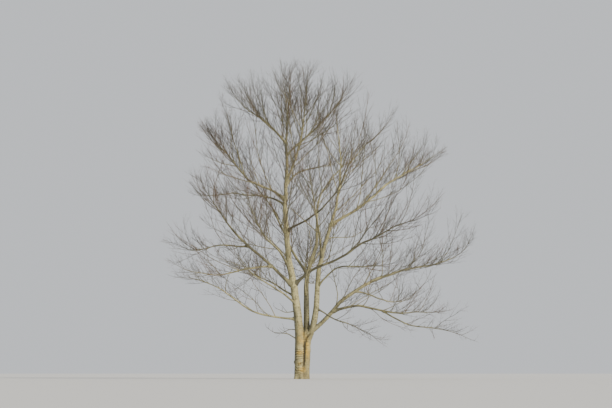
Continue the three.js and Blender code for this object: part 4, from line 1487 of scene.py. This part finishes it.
def make_light(settings):
    """A soft, slightly warm key from the front right, and a pale surround."""
    lamp = bpy.data.lights.new("key", "SUN")
    lamp.energy = 3.4
    lamp.angle = math.radians(14)
    lamp.color = linear("#fff5e4")[:3]
    key = place("key", lamp)
    key.rotation_mode = "QUATERNION"
    key.rotation_quaternion = Vector((-0.72, 0.52, -0.46)).to_track_quat("-Z", "Y")
    world = bpy.data.worlds.new("surround")
    world.use_nodes = True
    tree = world.node_tree
    tree.nodes.clear()
    glow = add_node(tree, "ShaderNodeBackground",
                    {"Color": tuple(settings.sky), "Strength": 0.95}, "Background")
    add_node(tree, "ShaderNodeOutputWorld", {"Surface": glow})
    bpy.context.scene.world = world


def make_camera(settings):
    """A camera low in front of the tree that looks up at it, as the photograph does."""
    lens = bpy.data.cameras.new("camera")
    lens.lens, lens.sensor_width = 50, 36
    lens.clip_end = 1000
    camera = place("camera", lens)
    camera.location = (settings.aside, -settings.distance, settings.height)
    camera.rotation_euler = (math.pi / 2 + settings.tilt, 0, 0)
    bpy.context.scene.camera = camera


class TREE_OT_stage(bpy.types.Operator):
    """Make the floor, the light and the camera"""

    bl_idname = "tree.stage"
    bl_label = "Stage"
    bl_options = {"REGISTER", "UNDO"}

    def execute(self, context):
        settings = context.scene.tree_stage
        make_floor(settings)
        make_light(settings)
        make_camera(settings)
        return {"FINISHED"}


class TREE_PT_panel(bpy.types.Panel):
    """The tree's pieces, in the order in which they are made"""

    bl_idname = "TREE_PT_panel"
    bl_label = "Bare winter tree"
    bl_space_type = "VIEW_3D"
    bl_region_type = "UI"
    bl_category = "Tree"

    def draw(self, context):
        column = self.layout.column()
        for operator in OPERATORS:
            column.operator(operator.bl_idname)
        for name, group in SETTINGS.items():
            for value in group.__annotations__:
                column.prop(getattr(context.scene, name), value)


SETTINGS = {"tree_bark": TreeBarkSettings, "tree_twigs": TreeTwigSettings,
            "tree_stage": TreeStageSettings}
OPERATORS = (TREE_OT_stage, TREE_OT_bole, TREE_OT_boughs, TREE_OT_twigs, TREE_OT_snags,
             TREE_OT_buds)


def register():
    """Registers the settings, the operators and the panel."""
    for item in (*SETTINGS.values(), *OPERATORS, TREE_PT_panel):
        bpy.utils.register_class(item)
    for name, group in SETTINGS.items():
        setattr(bpy.types.Scene, name, bpy.props.PointerProperty(type=group))


def unregister():
    """Takes back what register did."""
    for name in SETTINGS:
        delattr(bpy.types.Scene, name)
    for item in reversed((*SETTINGS.values(), *OPERATORS, TREE_PT_panel)):
        bpy.utils.unregister_class(item)


def main():
    """Makes every piece."""
    register()
    bpy.ops.tree.stage()
    bpy.ops.tree.bole()
    bpy.ops.tree.boughs()
    bpy.ops.tree.twigs()
    bpy.ops.tree.snags()
    bpy.ops.tree.buds()


if __name__ == "__main__":
    main()
